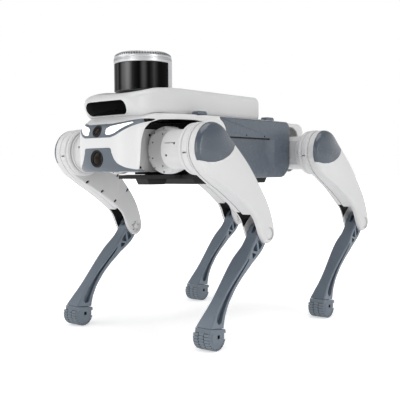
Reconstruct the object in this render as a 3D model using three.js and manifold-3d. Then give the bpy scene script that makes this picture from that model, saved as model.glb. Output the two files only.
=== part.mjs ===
// Quadruped robot dog standing on four legs, modelled as an assembly of closed solids.
// Millimetres, +X forward (towards the head), +Y to the robot's left, +Z up, feet on z = 0.
// The drawing frame has x = 0 midway between the front and rear hip axles; SHIFT_X moves the
// finished assembly so that the origin is under the middle of its bounding box.
import * as THREE from "three";
import { mergeVertices } from "three/addons/utils/BufferGeometryUtils.js";
import Module from "manifold-3d";

const wasm = await Module();
wasm.setup();

// ---- driving dimensions -------------------------------------------------------------------
const SHIFT_X = 30.8;
const HIP_X = 174.5; // hip pitch axis, forward of the middle
const HIP_Z = 325; // height of both hip axes when standing
const ABAD_Y = 62; // hip roll axis, out from the centre plane
const LEG_Y = 161; // middle plane of the shank
const KNEE = [36.5, 180]; // x, z of the front knee axis when standing
const FOOT = [174.5, 22]; // x, z of the front foot's centre
const THIGH_L = Math.hypot(HIP_X - KNEE[0], HIP_Z - KNEE[1]);
const SHANK_L = Math.hypot(FOOT[0] - KNEE[0], FOOT[1] - KNEE[1]);
const FOOT_R = 22;
const HOUSING_R = 33; // hip pitch actuator housing
const DISC_R = 40.5; // hip roll output disc
const COLLAR_R = 42.5; // thigh collar round the hip pitch axis
const OUTER_Y = 185; // outermost face of the leg
const BODY_HALF = 105; // half width of the body at the side panels
const DECK_Z = 386; // top of the body
const BELLY_Z = 276; // underside of the belly plate
const SKID_Z = 266; // underside of the skids and battery
const MODULE_HALF = 72;
const MODULE_TOP = 432;
const LIDAR_X = 157.5;
const LIDAR_R = 51;
const LIDAR_TOP = 494.5;
const GAP = 0.3;

// ---- solids -------------------------------------------------------------------------------
function solid(g) {
  const p = g.index ? g.toNonIndexed() : g.clone();
  const bare = new THREE.BufferGeometry().setAttribute("position", p.getAttribute("position"));
  const m = mergeVertices(bare, 1e-3);
  return new wasm.Manifold(new wasm.Mesh({
    numProp: 3,
    vertProperties: new Float32Array(m.attributes.position.array),
    triVerts: new Uint32Array(m.index.array),
  }));
}
function geometry(s) {
  const m = s.getMesh();
  const v = new Float32Array(m.numVert * 3);
  for (let i = 0; i < m.numVert; i++) v.set(m.vertProperties.subarray(i * m.numProp, i * m.numProp + 3), i * 3);
  return new THREE.BufferGeometry()
    .setAttribute("position", new THREE.BufferAttribute(v, 3))
    .setIndex(new THREE.BufferAttribute(new Uint32Array(m.triVerts), 1));
}
const add = (...s) => s.reduce((a, b) => a.add(b));
const cut = (a, ...s) => s.reduce((x, b) => x.subtract(b), a);
const both = (a, b) => a.intersect(b);

// A polygon given as pairs, extruded between two planes.
function extrude(points, depth) {
  const shape = new THREE.Shape(points.map((p) => new THREE.Vector2(p[0], p[1])));
  return new THREE.ExtrudeGeometry(shape, { depth, bevelEnabled: false, curveSegments: 1 });
}
// [x, z] polygon between y0 and y1
function prismY(points, y0, y1) {
  return solid(extrude(points, y1 - y0).rotateX(Math.PI / 2).translate(0, y1, 0));
}
// [y, z] polygon between x0 and x1
const TO_X = new THREE.Matrix4().makeBasis(new THREE.Vector3(0, 1, 0), new THREE.Vector3(0, 0, 1), new THREE.Vector3(1, 0, 0));
function prismX(points, x0, x1) {
  return solid(extrude(points, x1 - x0).applyMatrix4(TO_X).translate(x0, 0, 0));
}
// [x, y] polygon between z0 and z1
function prismZ(points, z0, z1) {
  return solid(extrude(points, z1 - z0).translate(0, 0, z0));
}
const box = (x0, x1, y0, y1, z0, z1) =>
  solid(new THREE.BoxGeometry(x1 - x0, y1 - y0, z1 - z0).translate((x0 + x1) / 2, (y0 + y1) / 2, (z0 + z1) / 2));
const cylY = (x, z, r, y0, y1, n = 20) =>
  solid(new THREE.CylinderGeometry(r, r, y1 - y0, n).translate(x, (y0 + y1) / 2, z));
const cylX = (y, z, r, x0, x1, n = 20) =>
  solid(new THREE.CylinderGeometry(r, r, x1 - x0, n).rotateZ(Math.PI / 2).translate((x0 + x1) / 2, y, z));
const cylZ = (x, y, r, z0, z1, n = 20) =>
  solid(new THREE.CylinderGeometry(r, r, z1 - z0, n).rotateX(Math.PI / 2).translate(x, y, (z0 + z1) / 2));
// Turned round an axis along Y through (x, z): profile of [radius, y]
function turnY(x, z, profile, n = 20) {
  return solid(new THREE.LatheGeometry(profile.map((p) => new THREE.Vector2(p[0], p[1])), n).translate(x, 0, z));
}

// Rings of [x, z] points at heights y, joined into one closed body.
function loftY(rings, heights) {
  const n = rings[0].length;
  const pos = [];
  rings.forEach((r, k) => r.forEach((p) => pos.push(p[0], heights[k], p[1])));
  const idx = [];
  for (let k = 0; k + 1 < rings.length; k++)
    for (let i = 0; i < n; i++) {
      const j = (i + 1) % n;
      const a = k * n + i, b = k * n + j, c = a + n, d = b + n;
      idx.push(a, c, b, b, c, d);
    }
  const flat = (r) => THREE.ShapeUtils.triangulateShape(r.map((p) => new THREE.Vector2(p[0], p[1])), []);
  flat(rings[0]).forEach((t) => idx.push(t[0], t[1], t[2]));
  const o = (rings.length - 1) * n;
  flat(rings[rings.length - 1]).forEach((t) => idx.push(o + t[0], o + t[2], o + t[1]));
  const g = new THREE.BufferGeometry().setAttribute("position", new THREE.Float32BufferAttribute(pos, 3));
  g.setIndex(idx);
  let s = solid(g);
  if (s.volume() < 0) {
    for (let i = 0; i < idx.length; i += 3) [idx[i + 1], idx[i + 2]] = [idx[i + 2], idx[i + 1]];
    g.setIndex(idx);
    s = solid(g);
  }
  return s;
}
const scaled = (poly, c, k) => poly.map((p) => [c[0] + (p[0] - c[0]) * k, c[1] + (p[1] - c[1]) * k]);
const arc = (cx, cy, r, a0, a1, n) =>
  Array.from({ length: n + 1 }, (_, i) => {
    const a = ((a0 + ((a1 - a0) * i) / n) * Math.PI) / 180;
    return [cx + r * Math.cos(a), cy + r * Math.sin(a)];
  });
const signedArea = (p) => p.reduce((s, q, i) => { const r = p[(i + 1) % p.length]; return s + q[0] * r[1] - r[0] * q[1]; }, 0) / 2;
const ccw = (p) => (signedArea(p) < 0 ? [...p].reverse() : p);
// Moves each side of a polygon inwards by d.
function inset(poly, d) {
  const p = ccw(poly), n = p.length;
  return p.map((q, i) => {
    const a = p[(i + n - 1) % n], b = p[(i + 1) % n];
    const u = [q[0] - a[0], q[1] - a[1]], v = [b[0] - q[0], b[1] - q[1]];
    const lu = Math.hypot(...u), lv = Math.hypot(...v);
    const nu = [-u[1] / lu, u[0] / lu], nv = [-v[1] / lv, v[0] / lv];
    const k = 1 + nu[0] * nv[0] + nu[1] * nv[1];
    return [q[0] + (d * (nu[0] + nv[0])) / k, q[1] + (d * (nu[1] + nv[1])) / k];
  });
}

// ---- assembly -----------------------------------------------------------------------------
const robot = new THREE.Group();
robot.position.x = SHIFT_X;
const MATERIALS = {
  white: new THREE.MeshStandardMaterial({ color: 0xe2e2e2, roughness: 0.4, metalness: 0 }),
  grey: new THREE.MeshStandardMaterial({ color: 0x69727c, roughness: 0.45, metalness: 0 }),
  shank: new THREE.MeshStandardMaterial({ color: 0x69727c, roughness: 0.4, metalness: 0.4 }),
  rubber: new THREE.MeshStandardMaterial({ color: 0x59626c, roughness: 0.8, metalness: 0 }),
  black: new THREE.MeshStandardMaterial({ color: 0x17181a, roughness: 0.6, metalness: 0 }),
  gloss: new THREE.MeshStandardMaterial({ color: 0x050505, roughness: 0.1, metalness: 0 }),
  silver: new THREE.MeshStandardMaterial({ color: 0xc9cbcd, roughness: 0.35, metalness: 0.9 }),
  light: new THREE.MeshStandardMaterial({ color: 0xffffff, roughness: 0.3, metalness: 0 }),
  steel: new THREE.MeshStandardMaterial({ color: 0x9a9ca0, roughness: 0.3, metalness: 1 }),
};
function place(parent, name, s, material) {
  const m = new THREE.Mesh(s.isManifoldGeometry ? s : geometry(s), MATERIALS[material]);
  m.name = name;
  parent.add(m);
}
// The same body on another corner: mirrored fore-aft and left-right.
function mirrored(s, sx, sy) {
  const g = geometry(s).scale(sx, sy, 1);
  if (sx * sy < 0) {
    const i = g.index.array;
    for (let k = 0; k < i.length; k += 3) [i[k + 1], i[k + 2]] = [i[k + 2], i[k + 1]];
  }
  return solid(g);
}

// ---- leg, drawn for the front left corner -------------------------------------------------
// Thigh frame: x runs from the hip axis to the knee, y stays the robot's, z is the front edge's side.
function legFrame(from, to) {
  const dx = to[0] - from[0], dz = to[1] - from[1], l = Math.hypot(dx, dz);
  return new THREE.Matrix4()
    .makeBasis(new THREE.Vector3(dx / l, 0, dz / l), new THREE.Vector3(0, 1, 0), new THREE.Vector3(-dz / l, 0, dx / l))
    .setPosition(from[0], 0, from[1]);
}
const THIGH = legFrame([HIP_X, HIP_Z], KNEE);
const SHANK = legFrame(KNEE, FOOT);
const moved = (s, m) => solid(geometry(s).applyMatrix4(m));

const thighOutline = ccw([
  [10, 43], [40, 35.5], [80, 21.5], [118, 12], [136, 8.5], [150, 6], [163, 7.5], [176, 12], [188, 16], [200, 18],
  [209, 15.6], [215.5, 9], [218, 0], [216, -9.5], [208, -17.5], [196, -24], [184, -29.5], [171, -34], [153, -38],
  [131, -40], [106, -41.5], [82, -42.5], [42, -43], [0, -43.3], [-16.5, -40], [-30.6, -30.6], [-40, -16.5],
  [-43.3, 0], [-40, 16.5], [-30.6, 30.6], [-16.5, 40],
]);
const capOutline = ccw([
  [27, -43], [27, -29], [25, -10], [19, 6], [11, 19], [0, 31], [-11, 41.3],
  [-16.5, 40], [-30.6, 30.6], [-40, 16.5], [-43.3, 0], [-40, -16.5], [-30.6, -30.6], [-16.5, -40], [0, -43.3],
]);
const hollowOutline = inset(thighOutline, 4).filter((_, i) => i % 2 === 0);
const KNEE_CUT = [[146, -60], [240, -60], [240, 60], [146, 60]];
const MID_CUT = [[-60, -60], [146, -60], [146, 60], [-60, 60]];

function thighInner() {
  const skin = prismY(thighOutline, 149, 155);
  const collar = turnY(0, 0, [[0, 132], [40.5, 132], [COLLAR_R, 134], [COLLAR_R, 139], [41, 140.5], [43.3, 142.5], [43.3, 152], [0, 152]], 20);
  const cheek = both(loftY([inset(thighOutline, 3), thighOutline, thighOutline], [143, 146.5, 152]), prismY([[134, -60], [240, -60], [240, 60], [134, 60]], 142, 152));
  const body = add(skin, collar, cheek);
  const tray = both(prismY(hollowOutline, 152, 156), prismY([[-60, -60], [140, -60], [140, 60], [-60, 60]], 151, 157));
  return cut(
    body, tray,
    cylY(0, 0, 35, 145, 156, 24), // pocket for the knee motor
    prismY(KNEE_CUT, 148.6, 156), // fork that the shank swings in
    cylY(THIGH_L, 0, 5.3, 140, 160, 12),
  );
}
function thighOuter() {
  const shell = loftY([thighOutline, thighOutline, inset(thighOutline, 1.2), inset(thighOutline, 4)], [155.3, 177, 181, 183]);
  const hollow = both(prismY(hollowOutline, 155, 179), prismY(MID_CUT, 154, 180));
  return cut(
    shell, hollow,
    prismY([[144, -60], [240, -60], [240, 60], [144, 60]], 155, 173.8),
    prismY(inset(capOutline, -0.3), 168, 190),
    cylY(THIGH_L, 0, 5.3, 170, 190, 12),
    cylY(THIGH_L, 0, 11, 180.5, 190, 20), // dished seat for the axle's cover
  );
}
function hipCap() {
  const c = [-8, -2];
  const k = (f, y) => scaled(capOutline, c, f);
  const dome = loftY([capOutline, capOutline, k(0.955), k(0.86), k(0.7), k(0.35)], [168.3, 173.5, 178, 181.8, 184, OUTER_Y]);
  const hollow = loftY([k(0.9), k(0.9), k(0.72)], [168, 174, 180.5]);
  return cut(dome, hollow);
}
// The knee motor's crank, a push rod and the shank's horn make a parallelogram, so the rod keeps
// parallel to the thigh. The horn stands nearly opposite the shank.
const CRANK_R = 20;
const CRANK_REST = 258; // degrees from the thigh's axis towards its front edge
const PIN = [CRANK_R * Math.cos((CRANK_REST * Math.PI) / 180), CRANK_R * Math.sin((CRANK_REST * Math.PI) / 180)];
const ROD_Y = [158.2, 163.8];
function kneeCrank() {
  const rotor = turnY(0, 0, [[0, 146.2], [31, 146.2], [33, 147.5], [33, 154.5], [29, 156], [29, 157.9], [0, 157.9]], 18);
  return add(rotor, cylY(PIN[0], PIN[1], 3, 157, 165.4, 10));
}
function kneeRod() {
  const loop = ccw([...arc(0, 0, 6.4, 40, 320, 8), ...arc(THIGH_L, 0, 6.4, -140, 140, 8)].map((p) => [p[0] + PIN[0], p[1] + PIN[1]]));
  return cut(
    prismY(loop, ROD_Y[0], ROD_Y[1]),
    cylY(PIN[0], PIN[1], 3.6, 150, 170, 12), cylY(PIN[0] + THIGH_L, PIN[1], 3.6, 150, 170, 12),
  );
}
function kneeAxle() {
  return turnY(THIGH_L, 0, [[0, 143.4], [5, 143.4], [5, 180.8], [10, 180.8], [10, 182], [9, 182.6], [0, 182.6]], 18);
}
const shankOutline = ccw([
  ...arc(0, 0, 16.2, 250, 95, 8),
  [14, 15], [29, 13.2], [45, 14.2], [60, 15.4], [75, 16.8], [91, 18.5], [110, 20], [128, 21], [150, 21.6], [170, 22.3], [188, 22.8], [203, 22.6],
  [215, 20], [222, -6], [205, -21], [198, -19.8], [187, -11], [169, -3], [148, 2], [120, 3.5], [95, 1.5], [62, -5],
  [41, -13.2], [26, -16.6], [15, -16.4],
]);
function shank() {
  const side = prismY(shankOutline, LEG_Y - 20, LEG_Y + 20);
  const half = [[-20, 12.1], [41, 12.1], [52, 14.2], [66, 16], [81, 15.5], [102, 14], [118, 12.7], [135, 11.8], [155, 11.5], [172, 12.2], [190, 14.2], [207, 16.4], [240, 17]];
  const front = prismZ([...half.map((p) => [p[0], LEG_Y - p[1]]), ...half.map((p) => [p[0], LEG_Y + p[1]]).reverse()], -40, 40);
  const pocket = [[64, 9.6], [84, 10.2], [105, 11.4], [128, 11.8], [148, 9.8], [168, 6.5], [184, 2.5], [190, 7], [189, 15], [184, 18], [160, 18.2], [128, 17.4], [91, 14.8], [65, 12.2]];
  const t1 = [[21, -6], [33, -5], [22, 7]], t2 = [[25.5, 8.5], [37, -3.2], [48, 0.5], [45, 10]];
  const pockets = [pocket, t1, t2].flatMap((p) => [prismY(p, LEG_Y + 5, LEG_Y + 25), prismY(p, LEG_Y - 25, LEG_Y - 5)]);
  // horn for the push rod: two ears joined by a pin, and a slot that the rod swings in
  const psi = Math.acos((THIGH_L ** 2 + SHANK_L ** 2 - (FOOT[0] - HIP_X) ** 2 - (HIP_Z - FOOT[1]) ** 2) / (2 * THIGH_L * SHANK_L));
  const a = (CRANK_REST * Math.PI) / 180 - (Math.PI - psi); // horn's direction, from the shank's axis
  const h = [CRANK_R * Math.cos(a), CRANK_R * Math.sin(a)];
  const b = (a * 180) / Math.PI;
  const ear = ccw([...arc(h[0], h[1], 6.8, b - 75, b + 75, 7), ...arc(0, 0, 15.6, b + 62, b + 298, 6)]);
  const horn = prismY(ear, LEG_Y - 11.8, LEG_Y + 11.8);
  const c = Math.cos(Math.PI / 6), d = Math.sin(Math.PI / 6);
  const line = (k) => [h[0] + k * c + 4.6 * d, h[1] + k * d - 4.6 * c];
  const fan = ccw([line(-6), line(90), [60, 70], [-60, 70], [-60, line(-6)[1]]]);
  const slot = add(prismY(fan, ROD_Y[0] - 0.4, ROD_Y[1] + 0.4), cylY(h[0], h[1], 7, ROD_Y[0] - 0.4, ROD_Y[1] + 0.4, 20));
  const solidShank = cut(add(both(side, front), horn), ...pockets, slot, cylY(0, 0, 5.3, 140, 180, 12));
  return add(solidShank, cylY(h[0], h[1], 3, LEG_Y - 6, LEG_Y + 6, 10));
}
const footTop = [[190.2, 37.6], [152.5, 32.6]];
function foot() {
  const r = FOOT_R / Math.cos(Math.PI / 20);
  const ring = arc(FOOT[0], FOOT[1], r, 171 - 360 + 9, 27, 11).map((p) => p); // from the heel round under to the toe
  const under = [];
  for (let a = 189; a <= 369 + 18; a += 18) under.push([FOOT[0] + r * Math.cos((a * Math.PI) / 180), FOOT[1] + r * Math.sin((a * Math.PI) / 180)]);
  const outline = ccw([footTop[1], ...under, footTop[0]]);
  const c = [FOOT[0], FOOT[1] + 2];
  return loftY([scaled(outline, c, 0.9), outline, outline, scaled(outline, c, 0.9)].map((q) => q.map((p) => [p[0], Math.max(p[1], 0)])), [LEG_Y - 17, LEG_Y - 14, LEG_Y + 14, LEG_Y + 17]);
}
function trimmedShank() {
  const s = moved(shank(), SHANK);
  // everything below the rubber's top edge belongs to the foot
  const below = prismY([[100, footTop[1][1] - 6.6], [152.5, footTop[1][1] + GAP], [190.2, footTop[0][1] + GAP], [250, footTop[0][1] + 8.3], [250, -50], [100, -50]], 130, 200);
  return cut(s, below);
}

// Hip housing: roll disc on the fore-aft axis, joined to the pitch actuator's barrel across it.
function hipHousing(rear) {
  const disc = solid(new THREE.LatheGeometry([[0, 141], [36.5, 141], [38, 143], [38, 150], [DISC_R, 152.5], [DISC_R, 168], [38.6, 170], [38.6, 173], [33, 173], [33, 175.5], [0, 175.5]].map((p) => new THREE.Vector2(p[0], p[1])), 20).rotateZ(-Math.PI / 2).translate(0, ABAD_Y, HIP_Z));
  const barrel = turnY(HIP_X, HIP_Z, [[0, 87], [HOUSING_R - 1.5, 87], [HOUSING_R, 88.5], [HOUSING_R, 126], [38, 127.5], [38, 131], [0, 131]], 20);
  const web = box(152, 173, 62, 100, HIP_Z - 28, HIP_Z + 28);
  // the rear barrels are flattened where they swing past the side panel's rear edge
  return add(disc, rear ? cut(barrel, box(120, 151, 80, 122, 280, 370)) : barrel, web);
}
function rollMotor() {
  return cylX(ABAD_Y, HIP_Z, 31.5, 104.3, 140, 28);
}

const CORNERS = [["fl", 1, 1], ["fr", 1, -1], ["rl", -1, 1], ["rr", -1, -1]];
for (const [tag, sx, sy] of CORNERS) {
  const leg = new THREE.Group();
  const offset = sx < 0 ? -2 * HIP_X : 0; // both pairs of legs bend the same way, so the rear ones are moved, not mirrored
  const same = (s) => solid(geometry(mirrored(s, 1, sy)).translate(offset, 0, 0));
  place(leg, "roll_motor_" + tag, mirrored(rollMotor(), sx, sy), "black");
  place(leg, "hip_housing_" + tag, mirrored(hipHousing(sx < 0), sx, sy), "white");
  place(leg, "thigh_inner_" + tag, same(moved(thighInner(), THIGH)), "white");
  place(leg, "thigh_outer_" + tag, same(moved(thighOuter(), THIGH)), "white");
  place(leg, "hip_cap_" + tag, same(moved(hipCap(), THIGH)), "grey");
  place(leg, "knee_crank_" + tag, same(moved(kneeCrank(), THIGH)), "steel");
  place(leg, "knee_rod_" + tag, same(moved(kneeRod(), THIGH)), "steel");
  place(leg, "knee_axle_" + tag, same(moved(kneeAxle(), THIGH)), "steel");
  place(leg, "shank_" + tag, same(trimmedShank()), "shank");
  place(leg, "foot_" + tag, same(foot()), "rubber");
  robot.add(leg);
}

// ---- body ---------------------------------------------------------------------------------
const body = new THREE.Group();
// Outline seen from above, for an outer skin moved in by d
function plan(d) {
  const side = [
    ...arc(268 - 44, 28, 44 - d, 0, 90, 7),
    [190, 78 - d], [162, 86 - d], [122, 98.5 - d], [80, BODY_HALF - 0.4 - d], [-147, BODY_HALF - 0.4 - d], [-150, 97 - d], [-157, 90.5 - d], [-166, 86 - d], [-178, 84.6 - d], [-190, 84 - d],
    ...arc(-230, 64, 20 - d, 90, 180, 3),
  ];
  return ccw([...side, ...side.map((p) => [p[0], -p[1]]).reverse()]);
}
// Outline seen from the side
function profile(d) {
  return ccw([
    [261 - d, 286 + (d ? -20 : 0)], [267 - d, 294], [268 - d, 310], [268 - d, 345], [256 - d, 369 - d / 2], [236 - d, DECK_Z - 4 - d], [222, DECK_Z - d],
    [-234 + d, DECK_Z - d], [-246 + d, DECK_Z - 6 - d], [-250 + d, 371 - d], [-250 + d, 300], [-242 + d, 286 + (d ? -20 : 0)],
  ]);
}
const hull = both(prismZ(plan(0), 280, 400), prismY(profile(0), -120, 120));
const bore = both(prismZ(plan(3.5), 250, 400), prismY(profile(3.5), -120, 120));
const skin = cut(hull, bore);

// Front-view outlines of the face, as [y, z], mirrored about the centre plane
const sym = (p) => ccw([...p, ...p.map((q) => [-q[0], q[1]]).reverse()]);
const maskFace = sym([[30, 327], [30.5, 318], [36, 310.5], [42, 305.5], [55, 298], [66, 294.5], [80, 292.5], [80, 280]]);
const bandFace = sym([[31, 345.3], [46, 352.5], [62, 363.5], [74, 372.5], [72, 375.5], [62, 373], [44, 369], [26, 366.5]]);
const LED_L = [[19.5, 349.5], [33.5, 349.5], [46, 356], [60, 366], [68, 371.3], [64, 372.2], [46, 368], [26, 364], [20, 359.5]];
const LED_R = LED_L.map((p) => [-p[0], p[1]]);
const frontX = (poly, d = 0) => prismX(d ? inset(poly, d) : poly, 196, 300);

// Side-view wheel-arch openings for the hips
const frontArch = ccw([[96, 262], [96, 360], [104, 371], [120, 376], [160, 377], [194, 375], [218, 369], [230, 358], [234, 345], [234, 262]]);
const rearArch = ccw([[-213, 262], [-213, 358], [-208, 370], [-198, 376.5], [-184, 378.2], [-160, 378.2], [-96, 378.2], [-96, 262]]);
const sideBay = ccw([[-150, 262], [-150, 384.7], [78.5, 384.7], [66.2, 376], [56.6, 366.2], [51.2, 300], [51.2, 262]]);

let topShell = cut(
  skin,
  frontX(maskFace, -GAP), frontX(bandFace, -GAP),
  prismY(frontArch, 40, 130), prismY(frontArch, -130, -40),
  prismY(rearArch, 40, 130), prismY(rearArch, -130, -40),
  prismY(ccw([[-300, 262], [-300, 288], [200, 288], [200, 262]]), -130, 130),
  prismY(sideBay, 90, 130), prismY(sideBay, -130, -90),
  box(-100, 51.2, -130, 130, 262, 381), box(50, 97, -99, 99, 262, 381),
  prismX(ccw([[44, 270], [44, 286], [66, 306], [120, 306], [120, 270]]), -300, -200),
  prismX(ccw([[-44, 270], [-44, 286], [-66, 306], [-120, 306], [-120, 270]]), -300, -200),
);
// the belly side of the head is open; keep only the part that hangs together
const biggest = (s) => s.decompose().reduce((a, b) => (a.volume() > b.volume() ? a : b));
topShell = biggest(topShell);
place(body, "top_shell", topShell, "white");

const faceSkin = cut(both(prismZ(plan(0.2), 280, 400), prismY(profile(0.2), -120, 120)), both(prismZ(plan(6), 250, 400), prismY(profile(6), -120, 120)));
const headOnly = box(226, 300, -120, 120, 260, 400);
const maskSolid = both(both(faceSkin, frontX(maskFace)), headOnly);
place(body, "face_mask", biggest(cut(maskSolid, cylX(0, 310.3, 14.3, 255, 300, 24), prismX(ccw([[-80, 280], [80, 280], [80, 289], [-80, 289]]), 200, 300))), "grey");
const bandSolid = both(both(faceSkin, frontX(bandFace)), headOnly);
const camTilt = new THREE.Matrix4().makeRotationY(-0.46);
const upperCam = (r, a, b, n = 24) => solid(new THREE.CylinderGeometry(r, r, b - a, n).rotateZ(Math.PI / 2).translate((a + b) / 2, 0, 0).applyMatrix4(camTilt).translate(262, 0, 357.5));
place(body, "face_band", biggest(cut(bandSolid, frontX(LED_L, -GAP), frontX(LED_R, -GAP), upperCam(10.3, -20, 20))), "grey");
place(body, "light_left", biggest(both(both(faceSkin, frontX(LED_L)), headOnly)), "light");
place(body, "light_right", biggest(both(both(faceSkin, frontX(LED_R)), headOnly)), "light");
place(body, "camera_upper", add(upperCam(10, -14, 1.2), upperCam(7, -18, 0)), "gloss");
place(body, "camera_lower", add(cylX(0, 310.3, 14, 252, 269, 24), cylX(0, 310.3, 9, 244, 254, 16)), "gloss");

// Grey side panels with a recessed grip
function sidePanel() {
  const outline = ccw([[76, 384.2], [64, 375.5], [55, 365.5], [50, 300], [50, 276.3], [-121, 276.3], [-133, 280], [-143, 287], [-148.5, 296], [-148.5, 373], [-145, 380.7], [-138, 384.2]]);
  const slab = loftY([outline, outline, inset(outline, 1.5)], [90.3, 103.4, BODY_HALF]);
  const back = prismY(inset(outline, 3), 90, 95);
  const grip = ccw([[44, 349.5], [-79, 349.5], [-85, 343], [-85, 299], [-79, 292.5], [44, 292.5]]);
  const scoop = loftY([inset(grip, 6), grip], [97, 105.4]);
  return cut(slab, back, scoop, box(-170, -91, 80, 101.4, 262, 382)); // thin where it passes the rear roll motor
}
place(body, "side_panel_left", sidePanel(), "grey");
place(body, "side_panel_right", mirrored(sidePanel(), 1, -1), "grey");

// Chassis box, its end bulkheads and the spines that carry the head and the tail
const chassis = cut(
  add(
    box(-100, 100, -80, 80, 284, 376),
    box(98, 104, -80, 80, 288, 364), box(-104, -98, -80, 80, 288, 364),
    box(98, 236, -17, 17, 292, 330), box(-232, -98, -17, 17, 292, 360),
    box(210, 236, -17, 17, 292, 344),
    box(-90, 48, -89.8, 89.8, 284, 290), box(-90, 48, -89.8, 89.8, 364, 372),
  ),
  box(-95, 95, -76, 76, 280, 371),
  box(-96, 96, -60.5, 60.5, 370, 380),
  cylX(ABAD_Y, HIP_Z, 9, 90, 110, 16), cylX(-ABAD_Y, HIP_Z, 9, 90, 110, 16),
  cylX(ABAD_Y, HIP_Z, 9, -110, -90, 16), cylX(-ABAD_Y, HIP_Z, 9, -110, -90, 16),
  box(-205, -125, -20, 20, 306, 346), // lightening slot in the tail spine
);
place(body, "chassis", chassis, "black");

// Belly plate with its rails and the front skids, open in the middle for the battery
const skidFoot = (x0, x1, y0, y1) => prismY(ccw([[x0, BELLY_Z + 1], [x0 + 7, SKID_Z], [x1 - 7, SKID_Z], [x1, BELLY_Z + 1]]), y0, y1);
const bellyPlate = cut(
  add(
    box(-148, 130, -78, 78, BELLY_Z + 0.4, 282), prismZ(ccw([[120, -66], [145, -60], [192, -28], [192, 28], [145, 60], [120, 66]]), BELLY_Z + 0.4, 283),
    box(-138, 128, 66, 78, BELLY_Z, 283.4), box(-138, 128, -78, -66, BELLY_Z, 283.4),
    skidFoot(112, 165, -14, 14),
  ),
  box(-134, 97, -60.4, 60.4, 260, 300),
  );
place(body, "belly_plate", bellyPlate, "black");
place(body, "battery_pack", add(
  prismY(ccw([[-133, 283], [-133, BELLY_Z], [-126, SKID_Z], [88, SKID_Z], [95.5, BELLY_Z], [95.5, 283]]), -59.8, 59.8),
  box(-92, 92, -58, 58, 280, 346),
), "black");

// ---- sensor module ------------------------------------------------------------------------
function modulePlan(d) {
  const r = Math.max(8, d + 2); // rear corners
  const side = [...arc(252 - 32, MODULE_HALF - 32, 32 - d, 0, 90, 6), ...arc(-94.5 + r, MODULE_HALF - r, r - d, 90, 180, 2)];
  return ccw([...side, ...side.map((p) => [p[0], -p[1]]).reverse()]);
}
function moduleProfile(d) {
  return ccw([
    [236 - d, 379.5 + d], [246 - d, 386 + d], [252 - d, 400], [251 - d, 409 - d], [243 - d, 417.5 - d], [215, 424.5 - d], [180, 429.5 - d], [140, MODULE_TOP - d],
    [-80, MODULE_TOP - d], [-91 + d, 428 - d], [-94.5 + d, 420], [-94.5 + d, DECK_Z + 1 + d], [205, DECK_Z + 1 + d], [222, 383.5 + d],
  ]);
}
const moduleHull = both(prismZ(modulePlan(0), 370, 450), prismY(moduleProfile(0), -100, 100));
const moduleBore = both(prismZ(modulePlan(4), 370, 450), prismY(moduleProfile(4), -100, 100));
const windowFace = ccw([...arc(36.5, 394.3, 11, -90, 90, 6), ...arc(-36.5, 394.3, 11, 90, 270, 6)]);
const moduleShell = cut(
  moduleHull, moduleBore,
  prismX(inset(windowFace, -GAP), 232, 300),
  cylZ(LIDAR_X, 0, LIDAR_R + 0.4, 427.6, 440, 40), // seat of the lidar
  box(-70, 190, -50, 50, 380, 395), // opening to the body, for the harness
  cylZ(LIDAR_X, 0, 12, 420, 440, 16),
  box(150, 236, -60, 60, 370, DECK_Z + 0.8),
);
place(body, "module_shell", biggest(cut(moduleShell, both(hull, box(190, 300, -100, 100, 360, 400)))), "white");
place(body, "module_window", both(both(prismZ(modulePlan(0.4), 370, 450), prismY(moduleProfile(0.4), -100, 100)), prismX(windowFace, 241, 300)), "gloss");

// ---- lidar: silver housing with a back column, smoked window, spinning head ---------------
const wedge = (a0, a1, r) => ccw([[LIDAR_X, 0], ...arc(LIDAR_X, 0, r, a0, a1, 8)]);
const ringZ = (r0, r1, z0, z1) => cut(cylZ(LIDAR_X, 0, r1, z0, z1, 30), cylZ(LIDAR_X, 0, r0, z0 - 1, z1 + 1, 30));
const lidarBase = ringZ(12, 50, 428, 433);
const lidarBack = both(ringZ(46, LIDAR_R, 432.5, 478), prismZ(wedge(104, 256, 80), 430, 490));
const lidarTop = solid(new THREE.LatheGeometry([[0, 475.4], [49.8, 475.4], [LIDAR_R, 476.4], [LIDAR_R, 488], [48, LIDAR_TOP - 1.5], [44, LIDAR_TOP - 1.5], [43.5, LIDAR_TOP], [0, LIDAR_TOP]].map((p) => new THREE.Vector2(p[0], p[1])), 30).rotateX(Math.PI / 2).translate(LIDAR_X, 0, 0));
place(body, "lidar_housing", add(lidarBase, lidarBack, lidarTop), "silver");
place(body, "lidar_window", both(ringZ(46, 50.4, 433.3, 475.1), prismZ(wedge(-103.5, 103.5, 90), 430, 490)), "gloss");
place(body, "lidar_rotor", cut(cylZ(LIDAR_X, 0, 40, 434.5, 473, 20), box(LIDAR_X + 26, LIDAR_X + 60, -16, 16, 440, 468)), "black");

// ---- payload rails beside the module ------------------------------------------------------
function rail() {
  const bump = (x0, x1) => prismY(ccw([[x0, DECK_Z + 0.4], [x0, 390.5], [x0 + 2, 392.5], [x1 - 2, 392.5], [x1, 390.5], [x1, DECK_Z + 0.4]]), 82, 97);
  return add(box(-106, 123.5, 85, 93, DECK_Z + 0.3, DECK_Z + 1.6), bump(98, 123.5), bump(-106, -80));
}
place(body, "payload_rail_left", rail(), "grey");
place(body, "payload_rail_right", mirrored(rail(), 1, -1), "grey");

robot.add(body);
export default robot;
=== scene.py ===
import math

import bmesh
import bpy
import numpy as np
from mathutils import Matrix, Vector


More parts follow.
